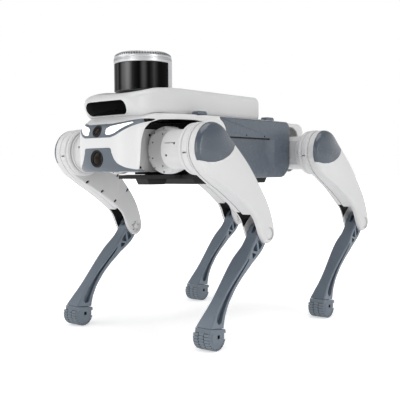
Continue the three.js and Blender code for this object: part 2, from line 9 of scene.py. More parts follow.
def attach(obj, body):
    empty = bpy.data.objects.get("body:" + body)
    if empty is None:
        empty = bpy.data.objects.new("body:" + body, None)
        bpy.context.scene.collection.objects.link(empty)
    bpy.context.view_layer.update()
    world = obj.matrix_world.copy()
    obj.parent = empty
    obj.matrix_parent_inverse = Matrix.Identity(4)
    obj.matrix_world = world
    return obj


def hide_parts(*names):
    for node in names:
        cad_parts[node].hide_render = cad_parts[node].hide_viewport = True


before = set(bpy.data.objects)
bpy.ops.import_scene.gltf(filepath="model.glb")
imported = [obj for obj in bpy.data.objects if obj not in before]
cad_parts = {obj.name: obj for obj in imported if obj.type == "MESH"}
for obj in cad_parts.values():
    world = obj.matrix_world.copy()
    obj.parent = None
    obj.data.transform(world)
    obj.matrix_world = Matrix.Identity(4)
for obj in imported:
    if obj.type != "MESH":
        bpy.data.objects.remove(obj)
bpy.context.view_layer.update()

# ------------------------------------------------------------------------------------------
# dimensions: millimetres, x = 0 midway between the hips, moved by SX into the row frame
SX = 30.8
HIP_X, HIP_Z, ABAD_Y, LEG_Y = 174.5, 325.0, 62.0, 161.0
KNEE = (36.5, 180.0)
FOOT = (174.5, 22.0)
THIGH_L = math.hypot(HIP_X - KNEE[0], HIP_Z - KNEE[1])
SHANK_L = math.hypot(FOOT[0] - KNEE[0], FOOT[1] - KNEE[1])
DECK = 386.0
LIDAR_X = 157.5
TU = np.array([(KNEE[0] - HIP_X) / THIGH_L, (KNEE[1] - HIP_Z) / THIGH_L])
TT = np.array([-TU[1], TU[0]])
SU = np.array([(FOOT[0] - KNEE[0]) / SHANK_L, (FOOT[1] - KNEE[1]) / SHANK_L])
ST = np.array([-SU[1], SU[0]])
scene = bpy.context.scene


def thigh_pt(a):
    """(s, y, t) along the thigh to x, y, z"""
    a = np.asarray(a, float)
    return np.stack([HIP_X + a[..., 0] * TU[0] + a[..., 2] * TT[0], a[..., 1], HIP_Z + a[..., 0] * TU[1] + a[..., 2] * TT[1]], -1)


def shank_pt(a):
    a = np.asarray(a, float)
    return np.stack([KNEE[0] + a[..., 0] * SU[0] + a[..., 2] * ST[0], a[..., 1], KNEE[1] + a[..., 0] * SU[1] + a[..., 2] * ST[1]], -1)


# ------------------------------------------------------------------------------------------
# curves in the plane
def area2(p):
    p = np.asarray(p, float)
    q = np.roll(p, -1, 0)
    return 0.5 * float(np.sum(p[:, 0] * q[:, 1] - q[:, 0] * p[:, 1]))


def ccw(p):
    p = np.asarray(p, float)
    return p[::-1].copy() if area2(p) < 0 else p.copy()


def chaikin(p, n=2):
    p = ccw(p)
    for _ in range(n):
        q = np.roll(p, -1, 0)
        p = np.stack([0.75 * p + 0.25 * q, 0.25 * p + 0.75 * q], 1).reshape(-1, 2)
    return p


def rounded(p, radii, seg=6):
    """polygon with each corner replaced by an arc"""
    p = np.asarray(p, float)
    n = len(p)
    if not hasattr(radii, "__len__"):
        radii = [radii] * n
    if area2(p) < 0:
        p = p[::-1]
        radii = list(radii)[::-1]
    out = []
    for i in range(n):
        a, b, c = p[i - 1], p[i], p[(i + 1) % n]
        u, v = a - b, c - b
        lu, lv = np.linalg.norm(u), np.linalg.norm(v)
        u, v = u / lu, v / lv
        cosang = float(np.clip(np.dot(u, v), -1, 1))
        half = math.acos(cosang) / 2
        if radii[i] <= 0.01 or half > math.pi / 2 - 0.02:
            out.append(b)
            continue
        d = min(radii[i] / math.tan(half), 0.48 * lu, 0.48 * lv)
        r = d * math.tan(half)
        mid = (u + v) / np.linalg.norm(u + v)
        o = b + mid * (r / math.sin(half))
        s, e = b + u * d, b + v * d
        a0 = math.atan2(*(s - o)[::-1])
        a1 = math.atan2(*(e - o)[::-1])
        da = (a1 - a0 + math.pi) % (2 * math.pi) - math.pi
        for k in range(seg + 1):
            t = a0 + da * k / seg
            out.append(o + r * np.array([math.cos(t), math.sin(t)]))
    return np.array(out)


def resample(p, step):
    """closed outline with even spacing"""
    p = ccw(p)
    q = np.vstack([p, p[:1]])
    d = np.r_[0, np.cumsum(np.linalg.norm(np.diff(q, axis=0), axis=1))]
    n = max(8, int(round(d[-1] / step)))
    t = np.linspace(0, d[-1], n, endpoint=False)
    return np.stack([np.interp(t, d, q[:, 0]), np.interp(t, d, q[:, 1])], 1)


def inset(p, d):
    """moves each point of a counter-clockwise outline inwards"""
    p = np.asarray(p, float)
    e = np.roll(p, -1, 0) - p
    e /= np.maximum(np.linalg.norm(e, axis=1, keepdims=True), 1e-9)
    f = np.roll(e, 1, 0)
    n = np.stack([-(e[:, 1] + f[:, 1]), e[:, 0] + f[:, 0]], 1)
    k = 1 + np.sum(e * f, 1)
    n /= np.maximum(k, 0.35)[:, None]
    return p + n * np.reshape(d, (-1, 1))


def arc(cx, cy, r, a0, a1, n):
    t = np.radians(np.linspace(a0, a1, n + 1))
    return np.stack([cx + r * np.cos(t), cy + r * np.sin(t)], 1)


def circle(cx, cy, r, n=48):
    t = np.linspace(0, 2 * math.pi, n, endpoint=False)
    return np.stack([cx + r * np.cos(t), cy + r * np.sin(t)], 1)


def smooth(x, a, b):
    t = np.clip((np.asarray(x, float) - a) / (b - a), 0, 1)
    return t * t * (3 - 2 * t)


# ------------------------------------------------------------------------------------------
# meshes. Working objects hold millimetres divided by 1000, already in the row frame.
_n = [0]


def obj_from(verts, faces, name=None):
    _n[0] += 1
    name = name or "work_%d" % _n[0]
    v = np.asarray(verts, float)
    me = bpy.data.meshes.new(name)
    me.from_pydata([((p[0] + SX) / 1000, p[1] / 1000, p[2] / 1000) for p in v], [], [list(map(int, f)) for f in faces])
    bm = bmesh.new()
    bm.from_mesh(me)
    bmesh.ops.recalc_face_normals(bm, faces=bm.faces)
    bm.to_mesh(me)
    bm.free()
    ob = bpy.data.objects.new(name, me)
    scene.collection.objects.link(ob)
    return ob


def loft(rings, name=None, caps=True):
    n = len(rings[0])
    v = np.concatenate([np.asarray(r, float) for r in rings])
    f = []
    for k in range(len(rings) - 1):
        for i in range(n):
            j = (i + 1) % n
            f.append((k * n + i, k * n + j, (k + 1) * n + j, (k + 1) * n + i))
    if caps:
        f.append(tuple(range(n)))
        f.append(tuple((len(rings) - 1) * n + i for i in range(n)))
    return obj_from(v, f, name)


def at_y(p, y):
    return np.stack([p[:, 0], np.full(len(p), float(y)), p[:, 1]], 1)


def at_x(p, x):
    return np.stack([np.full(len(p), float(x)), p[:, 0], p[:, 1]], 1)


def at_z(p, z):
    return np.stack([p[:, 0], p[:, 1], np.full(len(p), float(z))], 1)


def prism(p, axis, a, b, r=0.0, seg=3, to=None, r0=None):
    """outline extruded between a and b, its end edges rounded by r"""
    at = {"x": at_x, "y": at_y, "z": at_z}[axis]
    p = ccw(p)
    rings = []
    ra = r if r0 is None else r0
    if ra > 0:
        for k in range(seg + 1):
            t = math.pi / 2 * k / seg
            rings.append(at(inset(p, ra * (1 - math.sin(t))), a + ra * (1 - math.cos(t))))
    else:
        rings.append(at(p, a))
    if r > 0:
        for k in range(seg + 1):
            t = math.pi / 2 * k / seg
            rings.append(at(inset(p, r * (1 - math.cos(t))), b - r * (1 - math.sin(t))))
    else:
        rings.append(at(p, b))
    if to is not None:
        rings = [to(q) for q in rings]
    return loft(rings)


def block(x0, x1, y0, y1, z0, z1, r=0.0, axis="z"):
    c = {"z": ((x0, x1), (y0, y1), z0, z1), "y": ((x0, x1), (z0, z1), y0, y1), "x": ((y0, y1), (z0, z1), x0, x1)}[axis]
    p = [(c[0][0], c[1][0]), (c[0][1], c[1][0]), (c[0][1], c[1][1]), (c[0][0], c[1][1])]
    return prism(rounded(p, r) if r else p, axis, c[2], c[3], r * 0.6)


def revolve(profile, centre, axis, n=64, to=None):
    """profile of (radius, position along the axis); closed when both ends lie on the axis"""
    t = np.linspace(0, 2 * math.pi, n, endpoint=False)
    ring, verts, faces = [], [], []
    for r, a in profile:
        if r < 1e-6:
            pts = [(0.0, 0.0)]
        else:
            pts = [(r * math.cos(q), r * math.sin(q)) for q in t]
        start = len(verts)
        for u, w in pts:
            verts.append({"x": (centre[0] + a, centre[1] + u, centre[2] + w), "y": (centre[0] + u, centre[1] + a, centre[2] + w), "z": (centre[0] + u, centre[1] + w, centre[2] + a)}[axis])
        ring.append((start, len(pts)))
    for (s0, n0), (s1, n1) in zip(ring, ring[1:]):
        if n0 == 1 and n1 == 1:
            continue
        for i in range(n):
            j = (i + 1) % n
            if n0 == 1:
                faces.append((s0, s1 + i, s1 + j))
            elif n1 == 1:
                faces.append((s0 + j, s0 + i, s1))
            else:
                faces.append((s0 + i, s0 + j, s1 + j, s1 + i))
    v = np.array(verts)
    if to is not None:
        v = to(v)
    return obj_from(v, faces)


def rings_profile(pts, r=0.8, seg=3):
    """turned profile with its corners rounded"""
    pts = [np.array(p, float) for p in pts]
    out = [tuple(pts[0])]
    for a, b, c in zip(pts, pts[1:], pts[2:]):
        u, v = a - b, c - b
        lu, lv = np.linalg.norm(u), np.linalg.norm(v)
        if lu < 1e-6 or lv < 1e-6 or b[0] < 1e-6:
            out.append(tuple(b))
            continue
        d = min(r, 0.45 * lu, 0.45 * lv)
        s, e = b + u / lu * d, b + v / lv * d
        for k in range(seg + 1):
            t = k / seg
            out.append(tuple((1 - t) ** 2 * s + 2 * t * (1 - t) * b + t * t * e))
    out.append(tuple(pts[-1]))
    return out


def kill(*obs):
    for o in obs:
        me = o.data
        bpy.data.objects.remove(o)
        if me.users == 0:
            bpy.data.meshes.remove(me)


def apply_all(ob):
    deps = bpy.context.evaluated_depsgraph_get()
    me = bpy.data.meshes.new_from_object(ob.evaluated_get(deps))
    old = ob.data
    ob.modifiers.clear()
    ob.data = me
    bpy.data.meshes.remove(old)


def boole(ob, op, tools, keep=False):
    for t in tools:
        m = ob.modifiers.new("b", "BOOLEAN")
        m.operation = op
        m.object = t
        m.solver = "MANIFOLD"
        before = len(ob.data.polygons)
        apply_all(ob)
        if len(ob.data.polygons) == 0:
            raise RuntimeError("boolean left nothing of %s" % ob.name)
    if not keep:
        kill(*tools)
    return ob


def cut(ob, *tools, keep=False):
    return boole(ob, "DIFFERENCE", tools, keep)


def join(ob, *tools):
    return boole(ob, "UNION", tools)


def both(ob, tool, keep=False):
    return boole(ob, "INTERSECT", [tool], keep)


def copy(ob):
    c = ob.copy()
    c.data = ob.data.copy()
    scene.collection.objects.link(c)
    return c


def merge(ob, *others):
    """several closed bodies in one object, with no boolean"""
    bm = bmesh.new()
    for o in (ob,) + others:
        bm.from_mesh(o.data)
    bm.to_mesh(ob.data)
    bm.free()
    kill(*others)
    return ob


def polish(ob, bevel=0.5, angle=32, seg=2, weld=0.02, flat=0.05):
    bm = bmesh.new()
    bm.from_mesh(ob.data)
    bmesh.ops.remove_doubles(bm, verts=bm.verts, dist=weld / 1000)
    bmesh.ops.dissolve_degenerate(bm, edges=bm.edges, dist=weld / 1000)
    bmesh.ops.dissolve_limit(bm, angle_limit=math.radians(flat), verts=bm.verts, edges=bm.edges)
    bm.to_mesh(ob.data)
    bm.free()
    if bevel:
        m = ob.modifiers.new("edges", "BEVEL")
        m.width = bevel / 1000
        m.segments = seg
        m.limit_method = "ANGLE"
        m.angle_limit = math.radians(angle)
        m.use_clamp_overlap = True
        m.harden_normals = False
        m.miter_outer = "MITER_ARC"
        apply_all(ob)
    me = ob.data
    for p in me.polygons:
        p.use_smooth = True
    me.set_sharp_from_angle(angle=math.radians(38))
    w = ob.modifiers.new("normals", "WEIGHTED_NORMAL")
    w.keep_sharp = True
    w.weight = 96
    apply_all(ob)
    return ob


def paint(ob, test, index=1):
    """second finish on the faces that pass the test, given centre and normal in millimetres"""
    for p in ob.data.polygons:
        c = np.array(p.center) * 1000
        c[0] -= SX
        if test(c, np.array(p.normal)):
            p.material_index = index
    return ob


def thigh_st(c):
    d = np.array([c[0] - HIP_X, c[2] - HIP_Z])
    return float(d @ TU), float(d @ TT)


def mirrored(ob, sx=1, sy=1, dx=0.0):
    """copy on another corner: mirrored about the middle planes, or moved fore and aft"""
    c = copy(ob)
    me = c.data
    bm = bmesh.new()
    bm.from_mesh(me)
    for v in bm.verts:
        x = v.co.x * 1000 - SX
        v.co.x = (x * sx + dx + SX) / 1000
        v.co.y *= sy
    if sx * sy < 0:
        bmesh.ops.reverse_faces(bm, faces=bm.faces)
    bm.to_mesh(me)
    bm.free()
    if me.has_custom_normals:
        for a in list(me.attributes):
            if a.name == "custom_normal":
                me.attributes.remove(a)
    w = c.modifiers.new("normals", "WEIGHTED_NORMAL")
    w.keep_sharp = True
    w.weight = 96
    apply_all(c)
    return c


# ------------------------------------------------------------------------------------------
# materials
def new_mat(name):
    m = bpy.data.materials.new(name)
    m.use_nodes = True
    nt = m.node_tree
    return m, nt, nt.nodes["Principled BSDF"]


def link(nt, a, b):
    nt.links.new(a, b)


def noise(nt, co, scale, detail=3.0, rough=0.55):
    n = nt.nodes.new("ShaderNodeTexNoise")
    n.inputs["Scale"].default_value = scale
    n.inputs["Detail"].default_value = detail
    n.inputs["Roughness"].default_value = rough
    link(nt, co, n.inputs["Vector"])
    return n.outputs["Fac"]


def ramp(nt, fac, a, b, c0, c1):
    r = nt.nodes.new("ShaderNodeMapRange")
    r.inputs["From Min"].default_value = a
    r.inputs["From Max"].default_value = b
    r.inputs["To Min"].default_value = c0
    r.inputs["To Max"].default_value = c1
    link(nt, fac, r.inputs["Value"])
    return r.outputs["Result"]


def mixc(nt, fac, a, b):
    m = nt.nodes.new("ShaderNodeMix")
    m.data_type = "RGBA"
    if hasattr(fac, "links") or hasattr(fac, "is_linked"):
        link(nt, fac, m.inputs["Factor"])
    else:
        m.inputs["Factor"].default_value = fac
    for s, val in ((6, a), (7, b)):
        if isinstance(val, tuple):
            m.inputs[s].default_value = (*val, 1)
        else:
            link(nt, val, m.inputs[s])
    return m.outputs[2]


def moulded(name, color, rough, var=0.04, grain=1600.0, bump=0.06, edge=0.25, edge_col=None, coat=0.0, metallic=0.0, stain=0.03, spec=0.5):
    """moulded or painted surface: fine spark texture, slow colour drift, lighter convex edges that are partly wear and
    partly painted highlight
    """
    m, nt, b = new_mat(name)
    tc = nt.nodes.new("ShaderNodeTexCoord")
    co = tc.outputs["Object"]
    c = np.array(color)
    dark = tuple(float(x) for x in np.clip(c * (1 - var), 0, 1))
    light = tuple(float(x) for x in np.clip(c * (1 + var), 0, 1))
    slow = ramp(nt, noise(nt, co, 9.0, 2.0), 0.35, 0.65, 0, 1)
    fine = ramp(nt, noise(nt, co, grain * 0.35, 2.0), 0.3, 0.7, 0, 1)
    col = mixc(nt, slow, dark, light)
    col = mixc(nt, ramp(nt, fine, 0, 1, 0.0, stain * 2), col, tuple(float(x) for x in np.clip(c * 0.8, 0, 1)))
    geo = nt.nodes.new("ShaderNodeNewGeometry")
    # convex edges lightened by pointiness: partly edge wear, partly painted highlight
    edge_wear_and_highlight = ramp(nt, geo.outputs["Pointiness"], 0.52, 0.60, 0.0, edge)
    ec = edge_col or tuple(float(x) for x in np.clip(c * 1.25 + 0.02, 0, 1))
    col = mixc(nt, edge_wear_and_highlight, col, ec)
    link(nt, col, b.inputs["Base Color"])
    link(nt, ramp(nt, noise(nt, co, 60.0, 3.0), 0.3, 0.7, rough - 0.05, rough + 0.06), b.inputs["Roughness"])
    b.inputs["Metallic"].default_value = metallic
    b.inputs["Specular IOR Level"].default_value = spec
    b.inputs["Coat Weight"].default_value = coat
    b.inputs["Coat Roughness"].default_value = 0.15
    bp = nt.nodes.new("ShaderNodeBump")
    bp.inputs["Strength"].default_value = bump
    bp.inputs["Distance"].default_value = 0.0003
    link(nt, noise(nt, co, grain, 2.0), bp.inputs["Height"])
    link(nt, bp.outputs["Normal"], b.inputs["Normal"])
    return m


def machined(name, color, rough, axis="Z", centre=(0, 0, 0), ring=1400.0, metallic=1.0):
    """turned metal: fine circular tool marks round an axis"""
    m, nt, b = new_mat(name)
    tc = nt.nodes.new("ShaderNodeTexCoord")
    mp = nt.nodes.new("ShaderNodeMapping")
    mp.inputs["Location"].default_value = tuple(-x for x in centre)
    link(nt, tc.outputs["Object"], mp.inputs["Vector"])
    w = nt.nodes.new("ShaderNodeTexWave")
    w.wave_type = "RINGS"
    w.rings_direction = axis
    w.inputs["Scale"].default_value = ring
    w.inputs["Distortion"].default_value = 1.5
    w.inputs["Detail"].default_value = 2.0
    link(nt, mp.outputs["Vector"], w.inputs["Vector"])
    c = np.array(color)
    drift = ramp(nt, noise(nt, tc.outputs["Object"], 25.0, 3.0), 0.3, 0.7, 0, 1)
    col = mixc(nt, drift, tuple(float(x) for x in c * 0.93), tuple(float(x) for x in np.clip(c * 1.05, 0, 1)))
    link(nt, col, b.inputs["Base Color"])
    b.inputs["Metallic"].default_value = metallic
    link(nt, ramp(nt, w.outputs["Fac"], 0, 1, rough - 0.04, rough + 0.08), b.inputs["Roughness"])
    bp = nt.nodes.new("ShaderNodeBump")
    bp.inputs["Strength"].default_value = 0.08
    bp.inputs["Distance"].default_value = 0.0001
    link(nt, w.outputs["Fac"], bp.inputs["Height"])
    link(nt, bp.outputs["Normal"], b.inputs["Normal"])
    return m


def glossy(name, color, rough=0.06, coat=0.0, smudge=0.10, spec=0.22):
    """polished window: almost clean, with faint smudges in the gloss"""
    m, nt, b = new_mat(name)
    tc = nt.nodes.new("ShaderNodeTexCoord")
    co = tc.outputs["Object"]
    c = np.array(color)
    col = mixc(nt, ramp(nt, noise(nt, co, 30.0, 3.0), 0.35, 0.65, 0, 1), tuple(float(x) for x in c * 0.7), tuple(float(x) for x in c * 1.3))
    link(nt, col, b.inputs["Base Color"])
    link(nt, ramp(nt, noise(nt, co, 45.0, 4.0), 0.45, 0.75, rough, rough + smudge), b.inputs["Roughness"])
    b.inputs["Coat Weight"].default_value = coat
    b.inputs["Coat Roughness"].default_value = 0.03
    b.inputs["Specular IOR Level"].default_value = spec
    return m


def diffuser(name):
    """frosted light strip, softly lit"""
    m, nt, b = new_mat(name)
    tc = nt.nodes.new("ShaderNodeTexCoord")
    co = tc.outputs["Object"]
    v = nt.nodes.new("ShaderNodeTexVoronoi")
    v.inputs["Scale"].default_value = 500.0
    link(nt, co, v.inputs["Vector"])
    col = mixc(nt, ramp(nt, noise(nt, co, 40.0, 2.0), 0.3, 0.7, 0, 1), (0.90, 0.91, 0.93), (0.97, 0.97, 0.98))
    link(nt, col, b.inputs["Base Color"])
    b.inputs["Roughness"].default_value = 0.32
    b.inputs["Emission Color"].default_value = (1, 1, 1, 1)
    link(nt, ramp(nt, noise(nt, co, 70.0, 2.0), 0.2, 0.8, 0.40, 0.55), b.inputs["Emission Strength"])
    bp = nt.nodes.new("ShaderNodeBump")
    bp.inputs["Strength"].default_value = 0.1
    bp.inputs["Distance"].default_value = 0.0002
    link(nt, v.outputs["Distance"], bp.inputs["Height"])
    link(nt, bp.outputs["Normal"], b.inputs["Normal"])
    return m


WHITE = moulded("white_shell", (0.585, 0.585, 0.59), 0.38, var=0.012, grain=2600, bump=0.03, edge=0.2, coat=0.08, stain=0.01)
MODULE_WHITE = moulded("module_white", (0.515, 0.515, 0.52), 0.38, var=0.012, grain=2600, bump=0.03, edge=0.0, coat=0.08, stain=0.01)
LEG_WHITE = moulded("white_leg", (0.53, 0.53, 0.535), 0.40, var=0.015, grain=2200, bump=0.04, edge=0.2, coat=0.05, stain=0.012)
GREY = moulded("blue_grey_plastic", (0.073, 0.089, 0.112), 0.27, var=0.04, grain=1700, bump=0.09, edge=0.25)
CAP_GREY = moulded("hip_cap_grey", (0.060, 0.074, 0.094), 0.24, var=0.03, grain=1700, bump=0.04, edge=0.15, coat=0.3, spec=0.35)
FACE = moulded("blue_grey_face", (0.081, 0.099, 0.123), 0.34, var=0.03, grain=2000, bump=0.05, edge=0.2)
SHANK = moulded("blue_grey_shank", (0.120, 0.146, 0.180), 0.38, var=0.05, grain=1500, bump=0.08, edge=0.35, metallic=0.15)
RUBBER = moulded("grey_rubber", (0.125, 0.150, 0.180), 0.68, var=0.08, grain=900, bump=0.22, edge=0.15, stain=0.1)
BLACK = moulded("black_plastic", (0.010, 0.010, 0.011), 0.5, var=0.15, grain=1400, bump=0.12, edge=0.15, edge_col=(0.03, 0.03, 0.032), spec=0.25)
DARK = moulded("dark_inside", (0.012, 0.012, 0.013), 0.7, var=0.2, grain=900, bump=0.15, edge=0.1, edge_col=(0.03, 0.03, 0.03), spec=0.2)
GLOSS = glossy("gloss_black", (0.001, 0.001, 0.0012), spec=0.02)
SMOKED = glossy("smoked_window", (0.003, 0.003, 0.003), rough=0.12, spec=0.03)


def painted_reflection_bands(m):
    """painted reflection on the smoked window: soft grey upright bands set by the angle round the lidar axis, standing
    in for reflected light
    """
    nt = m.node_tree
    b = nt.nodes["Principled BSDF"]
    tc = nt.nodes.new("ShaderNodeTexCoord")
    sep = nt.nodes.new("ShaderNodeSeparateXYZ")
    link(nt, tc.outputs["Object"], sep.inputs["Vector"])
    sub = nt.nodes.new("ShaderNodeMath")
    sub.operation = "SUBTRACT"
    link(nt, sep.outputs["X"], sub.inputs[0])
    sub.inputs[1].default_value = (LIDAR_X + SX) / 1000
    at = nt.nodes.new("ShaderNodeMath")
    at.operation = "ARCTAN2"
    link(nt, sep.outputs["Y"], at.inputs[0])
    link(nt, sub.outputs[0], at.inputs[1])
    cr = nt.nodes.new("ShaderNodeValToRGB")
    link(nt, ramp(nt, at.outputs[0], -math.pi, math.pi, 0.0, 1.0), cr.inputs["Fac"])
    cr.color_ramp.interpolation = "EASE"
    e = cr.color_ramp.elements
    first = True
    # painted reflection: brightness of each band, by angle round the lidar
    for deg, v in ((-104, 0.002), (-60, 0.012), (-42, 0.001), (-22, 0.001), (-15, 0.040), (-8, 0.002), (3, 0.085), (13, 0.150), (25, 0.006), (37, 0.001), (46, 0.050), (55, 0.002), (68, 0.022), (78, 0.002), (104, 0.002)):
        pos = (deg + 180) / 360
        if deg == -104:
            q = e[0]
            q.position = pos
        elif deg == 104:
            q = e[len(e) - 1]
            q.position = pos
        else:
            q = e.new(pos)
        q.color = (v, v, v, 1)
    link(nt, cr.outputs["Color"], b.inputs["Base Color"])


# painted reflection bands in the lidar window's base colour
painted_reflection_bands(SMOKED)
LENS = glossy("lens_glass", (0.011, 0.008, 0.006), rough=0.10, smudge=0.05, spec=0.08)
LIGHT = diffuser("light_diffuser")
SILVER = machined("silver_cap", (0.50, 0.505, 0.515), 0.40, "Z", ((LIDAR_X + SX) / 1000, 0, 0), 900)
STEEL = machined("turned_steel", (0.42, 0.43, 0.45), 0.32, "Y", (0, 0, 0), 1100)
SCREW = machined("dark_screw", (0.06, 0.06, 0.065), 0.35, "X", (0, 0, 0), 900, metallic=0.9)


def done(ob, name, mat, body, slot, *nodes, extra=()):
    ob.name = name
    ob.data.name = name
    idx = [p.material_index for p in ob.data.polygons]
    ob.data.materials.clear()
    ob.data.materials.append(mat)
    for m in extra:
        ob.data.materials.append(m)
    for p, i in zip(ob.data.polygons, idx):
        p.material_index = i if i <= len(extra) else 0
    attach(ob, body)
    if nodes:
        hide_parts(*nodes)
    return ob


# ------------------------------------------------------------------------------------------
# body shell. The plan is drawn at full height; the nose and tail pull back with height.
def half(pts):
    a = np.asarray(pts, float)
    b = a[::-1].copy()
    b[:, 1] *= -1
    return np.vstack([a, b])


PLAN_PTS = half([(268, 0.01), (267.5, 14), (265.5, 30), (261, 46), (254, 58), (244, 67), (228, 72.5), (205, 75.5), (190, 78), (162, 86), (122, 98.5), (80, 104.6), (-60, 104.6), (-140, 104.6), (-146, 104), (-150.5, 96), (-157, 89.8), (-166, 85.8), (-178, 84.4), (-190, 83.8), (-222, 83), (-240, 79), (-248, 68), (-250, 52), (-250, 20)])
PLAN = resample(chaikin(PLAN_PTS, 2), 4.0)
_z = [286, 294, 303, 315, 330, 345, 352, 358, 364, 369, 374, 378, 381, 386]
_f = [261, 266.3, 267.8, 268.4, 268.6, 268.6, 268.0, 266.4, 262.6, 257.5, 250, 244, 239, 231]


def nose_x(z):
    return np.interp(z, _z, _f)


def tail_x(z):
    return np.interp(z, [286, 300, 365, 372, 378, 382, 386], [-243, -249, -250, -249, -246.5, -243, -236])


def hull_ring(z, d):
    p = inset(PLAN, d)
    x, y = p[:, 0].copy(), p[:, 1]
    w = smooth(x, 150, 268) ** 1.2
    x = x - (268 - nose_x(z)) * w
    w = smooth(-x, 190, 250)
    x = x + (250 + tail_x(z)) * w
    return np.stack([x, y, np.full(len(x), float(z))], 1)


def hull(d=0.0, top=DECK, low=284.0, r=6.0):
    zs = [(low, 7.0), (287, 4.6), (290, 2.7), (293, 1.4), (296, 0.5)] + [(z, 0.0) for z in np.linspace(300, top - r - 1, 21)]
    for k in range(7):
        t = math.pi / 2 * k / 6
        zs.append((top - r + r * math.sin(t), r * (1 - math.cos(t))))
    return loft([hull_ring(z, d + e) for z, e in zs])


def face_prism(pts, r=3.0, d=0.0, x0=196, x1=300):
    p = rounded(pts, r) if not isinstance(pts, np.ndarray) else ccw(pts)
    if d:
        p = inset(ccw(p), d)
    return prism(p, "x", x0, x1)


def symm(pts):
    a = [tuple(p) for p in pts]
    return a + [(-y, z) for y, z in reversed(a)]


MASK = rounded(symm([(31, 327.5), (32, 320), (36.5, 309), (42, 302), (53, 295.5), (64, 292.2), (74, 290.6), (74, 278)]), [4, 10, 14, 14, 20, 20, 0, 0] + [0, 0, 20, 20, 14, 14, 10, 4])
BAND = rounded(symm([(30, 344.8), (40, 348.0), (58, 360.5), (73, 371.5), (74.5, 375.5), (66, 375.0), (46, 370), (27, 366.8)]), [12, 30, 20, 3, 2, 12, 30, 20] * 2)
LED = rounded([(20.5, 349.2), (30, 349.2), (38, 352.2), (52, 362.3), (60.5, 368.6), (57.5, 369.6), (44, 366.4), (26, 362.6), (19.8, 358.6)], [2.2, 5, 14, 20, 2, 3, 20, 5, 2.5])
F_ARCH = rounded([(94, 250), (94, 358), (108, 374), (130, 376.3), (160, 376.6), (196, 375), (216, 369.5), (229, 358), (234.5, 340), (237.5, 300), (237.5, 250)], [0, 16, 30, 40, 60, 40, 22, 22, 30, 20, 0])
R_ARCH = rounded([(-213, 250), (-213, 357), (-207, 371), (-194, 377.6), (-184, 378.2), (-160, 378.3), (-96, 378.3), (-96, 250)], [0, 10, 10, 10, 20, 0, 0, 0])

PANEL = rounded([(76, 384.4), (63, 375.5), (55.5, 366), (50, 300), (50, 276.3), (-126, 276.3), (-148.5, 294), (-148.5, 384.4)], [3, 10, 20, 8, 5, 24, 24, 12])
outer = hull()
inner = hull(3.5, DECK - 3.5, 283, 4)
skin = cut(copy(outer), inner)
tools = []
for s in (1, -1):
    a, b = (40, 130) if s > 0 else (-130, -40)
    tools += [prism(F_ARCH, "y", a, b), prism(R_ARCH, "y", a, b)]
    tools.append(prism(inset(ccw(PANEL), -0.5), "y", *((89.5, 130) if s > 0 else (-130, -89.5))))
    tools.append(prism([(s * 44, 262), (s * 44, 285), (s * 66, 306), (s * 120, 306), (s * 120, 262)], "x", -300, -200))
tools.append(face_prism(MASK, d=-0.35))
tools.append(face_prism(BAND, d=-0.35))
tools.append(block(-300, 200, -130, 130, 250, 288))
tools.append(block(-100, 46, -130, 130, 250, 381))
shell = cut(copy(skin), *tools)
# keep the part that hangs together
bpy.context.view_layer.objects.active = shell


def largest(ob):
    bm = bmesh.new()
    bm.from_mesh(ob.data)
    seen, groups = set(), []
    bm.verts.ensure_lookup_table()
    for v in bm.verts:
        if v.index in seen:
            continue
        stack, g = [v], []
        seen.add(v.index)
        while stack:
            q = stack.pop()
            g.append(q)
            for e in q.link_edges:
                o = e.other_vert(q)
                if o.index not in seen:
                    seen.add(o.index)
                    stack.append(o)
        groups.append(g)
    groups.sort(key=len, reverse=True)
    bmesh.ops.delete(bm, geom=[v for g in groups[1:] for v in g], context="VERTS")
    bm.to_mesh(ob.data)
    bm.free()
    return ob


largest(shell)
polish(shell, 0.7)
done(shell, "top_shell_skin", WHITE, "torso", "white", "top_shell")

# face: mask, band, light strips, cameras
fo = hull(0.15)
fi = hull(5.5, DECK - 3.5, 283, 4)
face = cut(fo, fi)
face = both(face, block(226, 300, -120, 120, 289, 400))
mask = both(copy(face), face_prism(MASK))
mask = largest(cut(mask, revolve([(0, 250), (14.6, 250), (14.6, 300), (0, 300)], (0, 0, 310.3), "x", 48)))
polish(mask, 0.6)
done(mask, "face_mask_shell", FACE, "torso", "grey", "face_mask")
band = both(copy(face), face_prism(BAND))
led_r = LED.copy()
led_r[:, 0] *= -1
leds = []
for nm, p, node in (("light_strip_l", LED, "light_left"), ("light_strip_r", led_r, "light_right")):
    band = cut(band, face_prism(np.array(p), d=-0.3))
    l = both(copy(face), face_prism(np.array(p)))
    polish(largest(l), 0.5)
    done(l, nm, LIGHT, "torso", "light", node)


def tilt(v, ang=0.40, o=(265.6, 0.0, 355.6)):
    c, s = math.cos(ang), math.sin(ang)
    x, y, z = v[:, 0], v[:, 1], v[:, 2]
    return np.stack([o[0] + x * c - z * s, o[1] + y, o[2] + x * s + z * c], 1)


band = cut(band, revolve([(0, -20), (10.6, -20), (10.6, 20), (0, 20)], (0, 0, 0), "x", 40, to=tilt))
polish(largest(band), 0.6)
done(band, "face_band_shell", FACE, "torso", "grey", "face_band")
kill(face, skin)

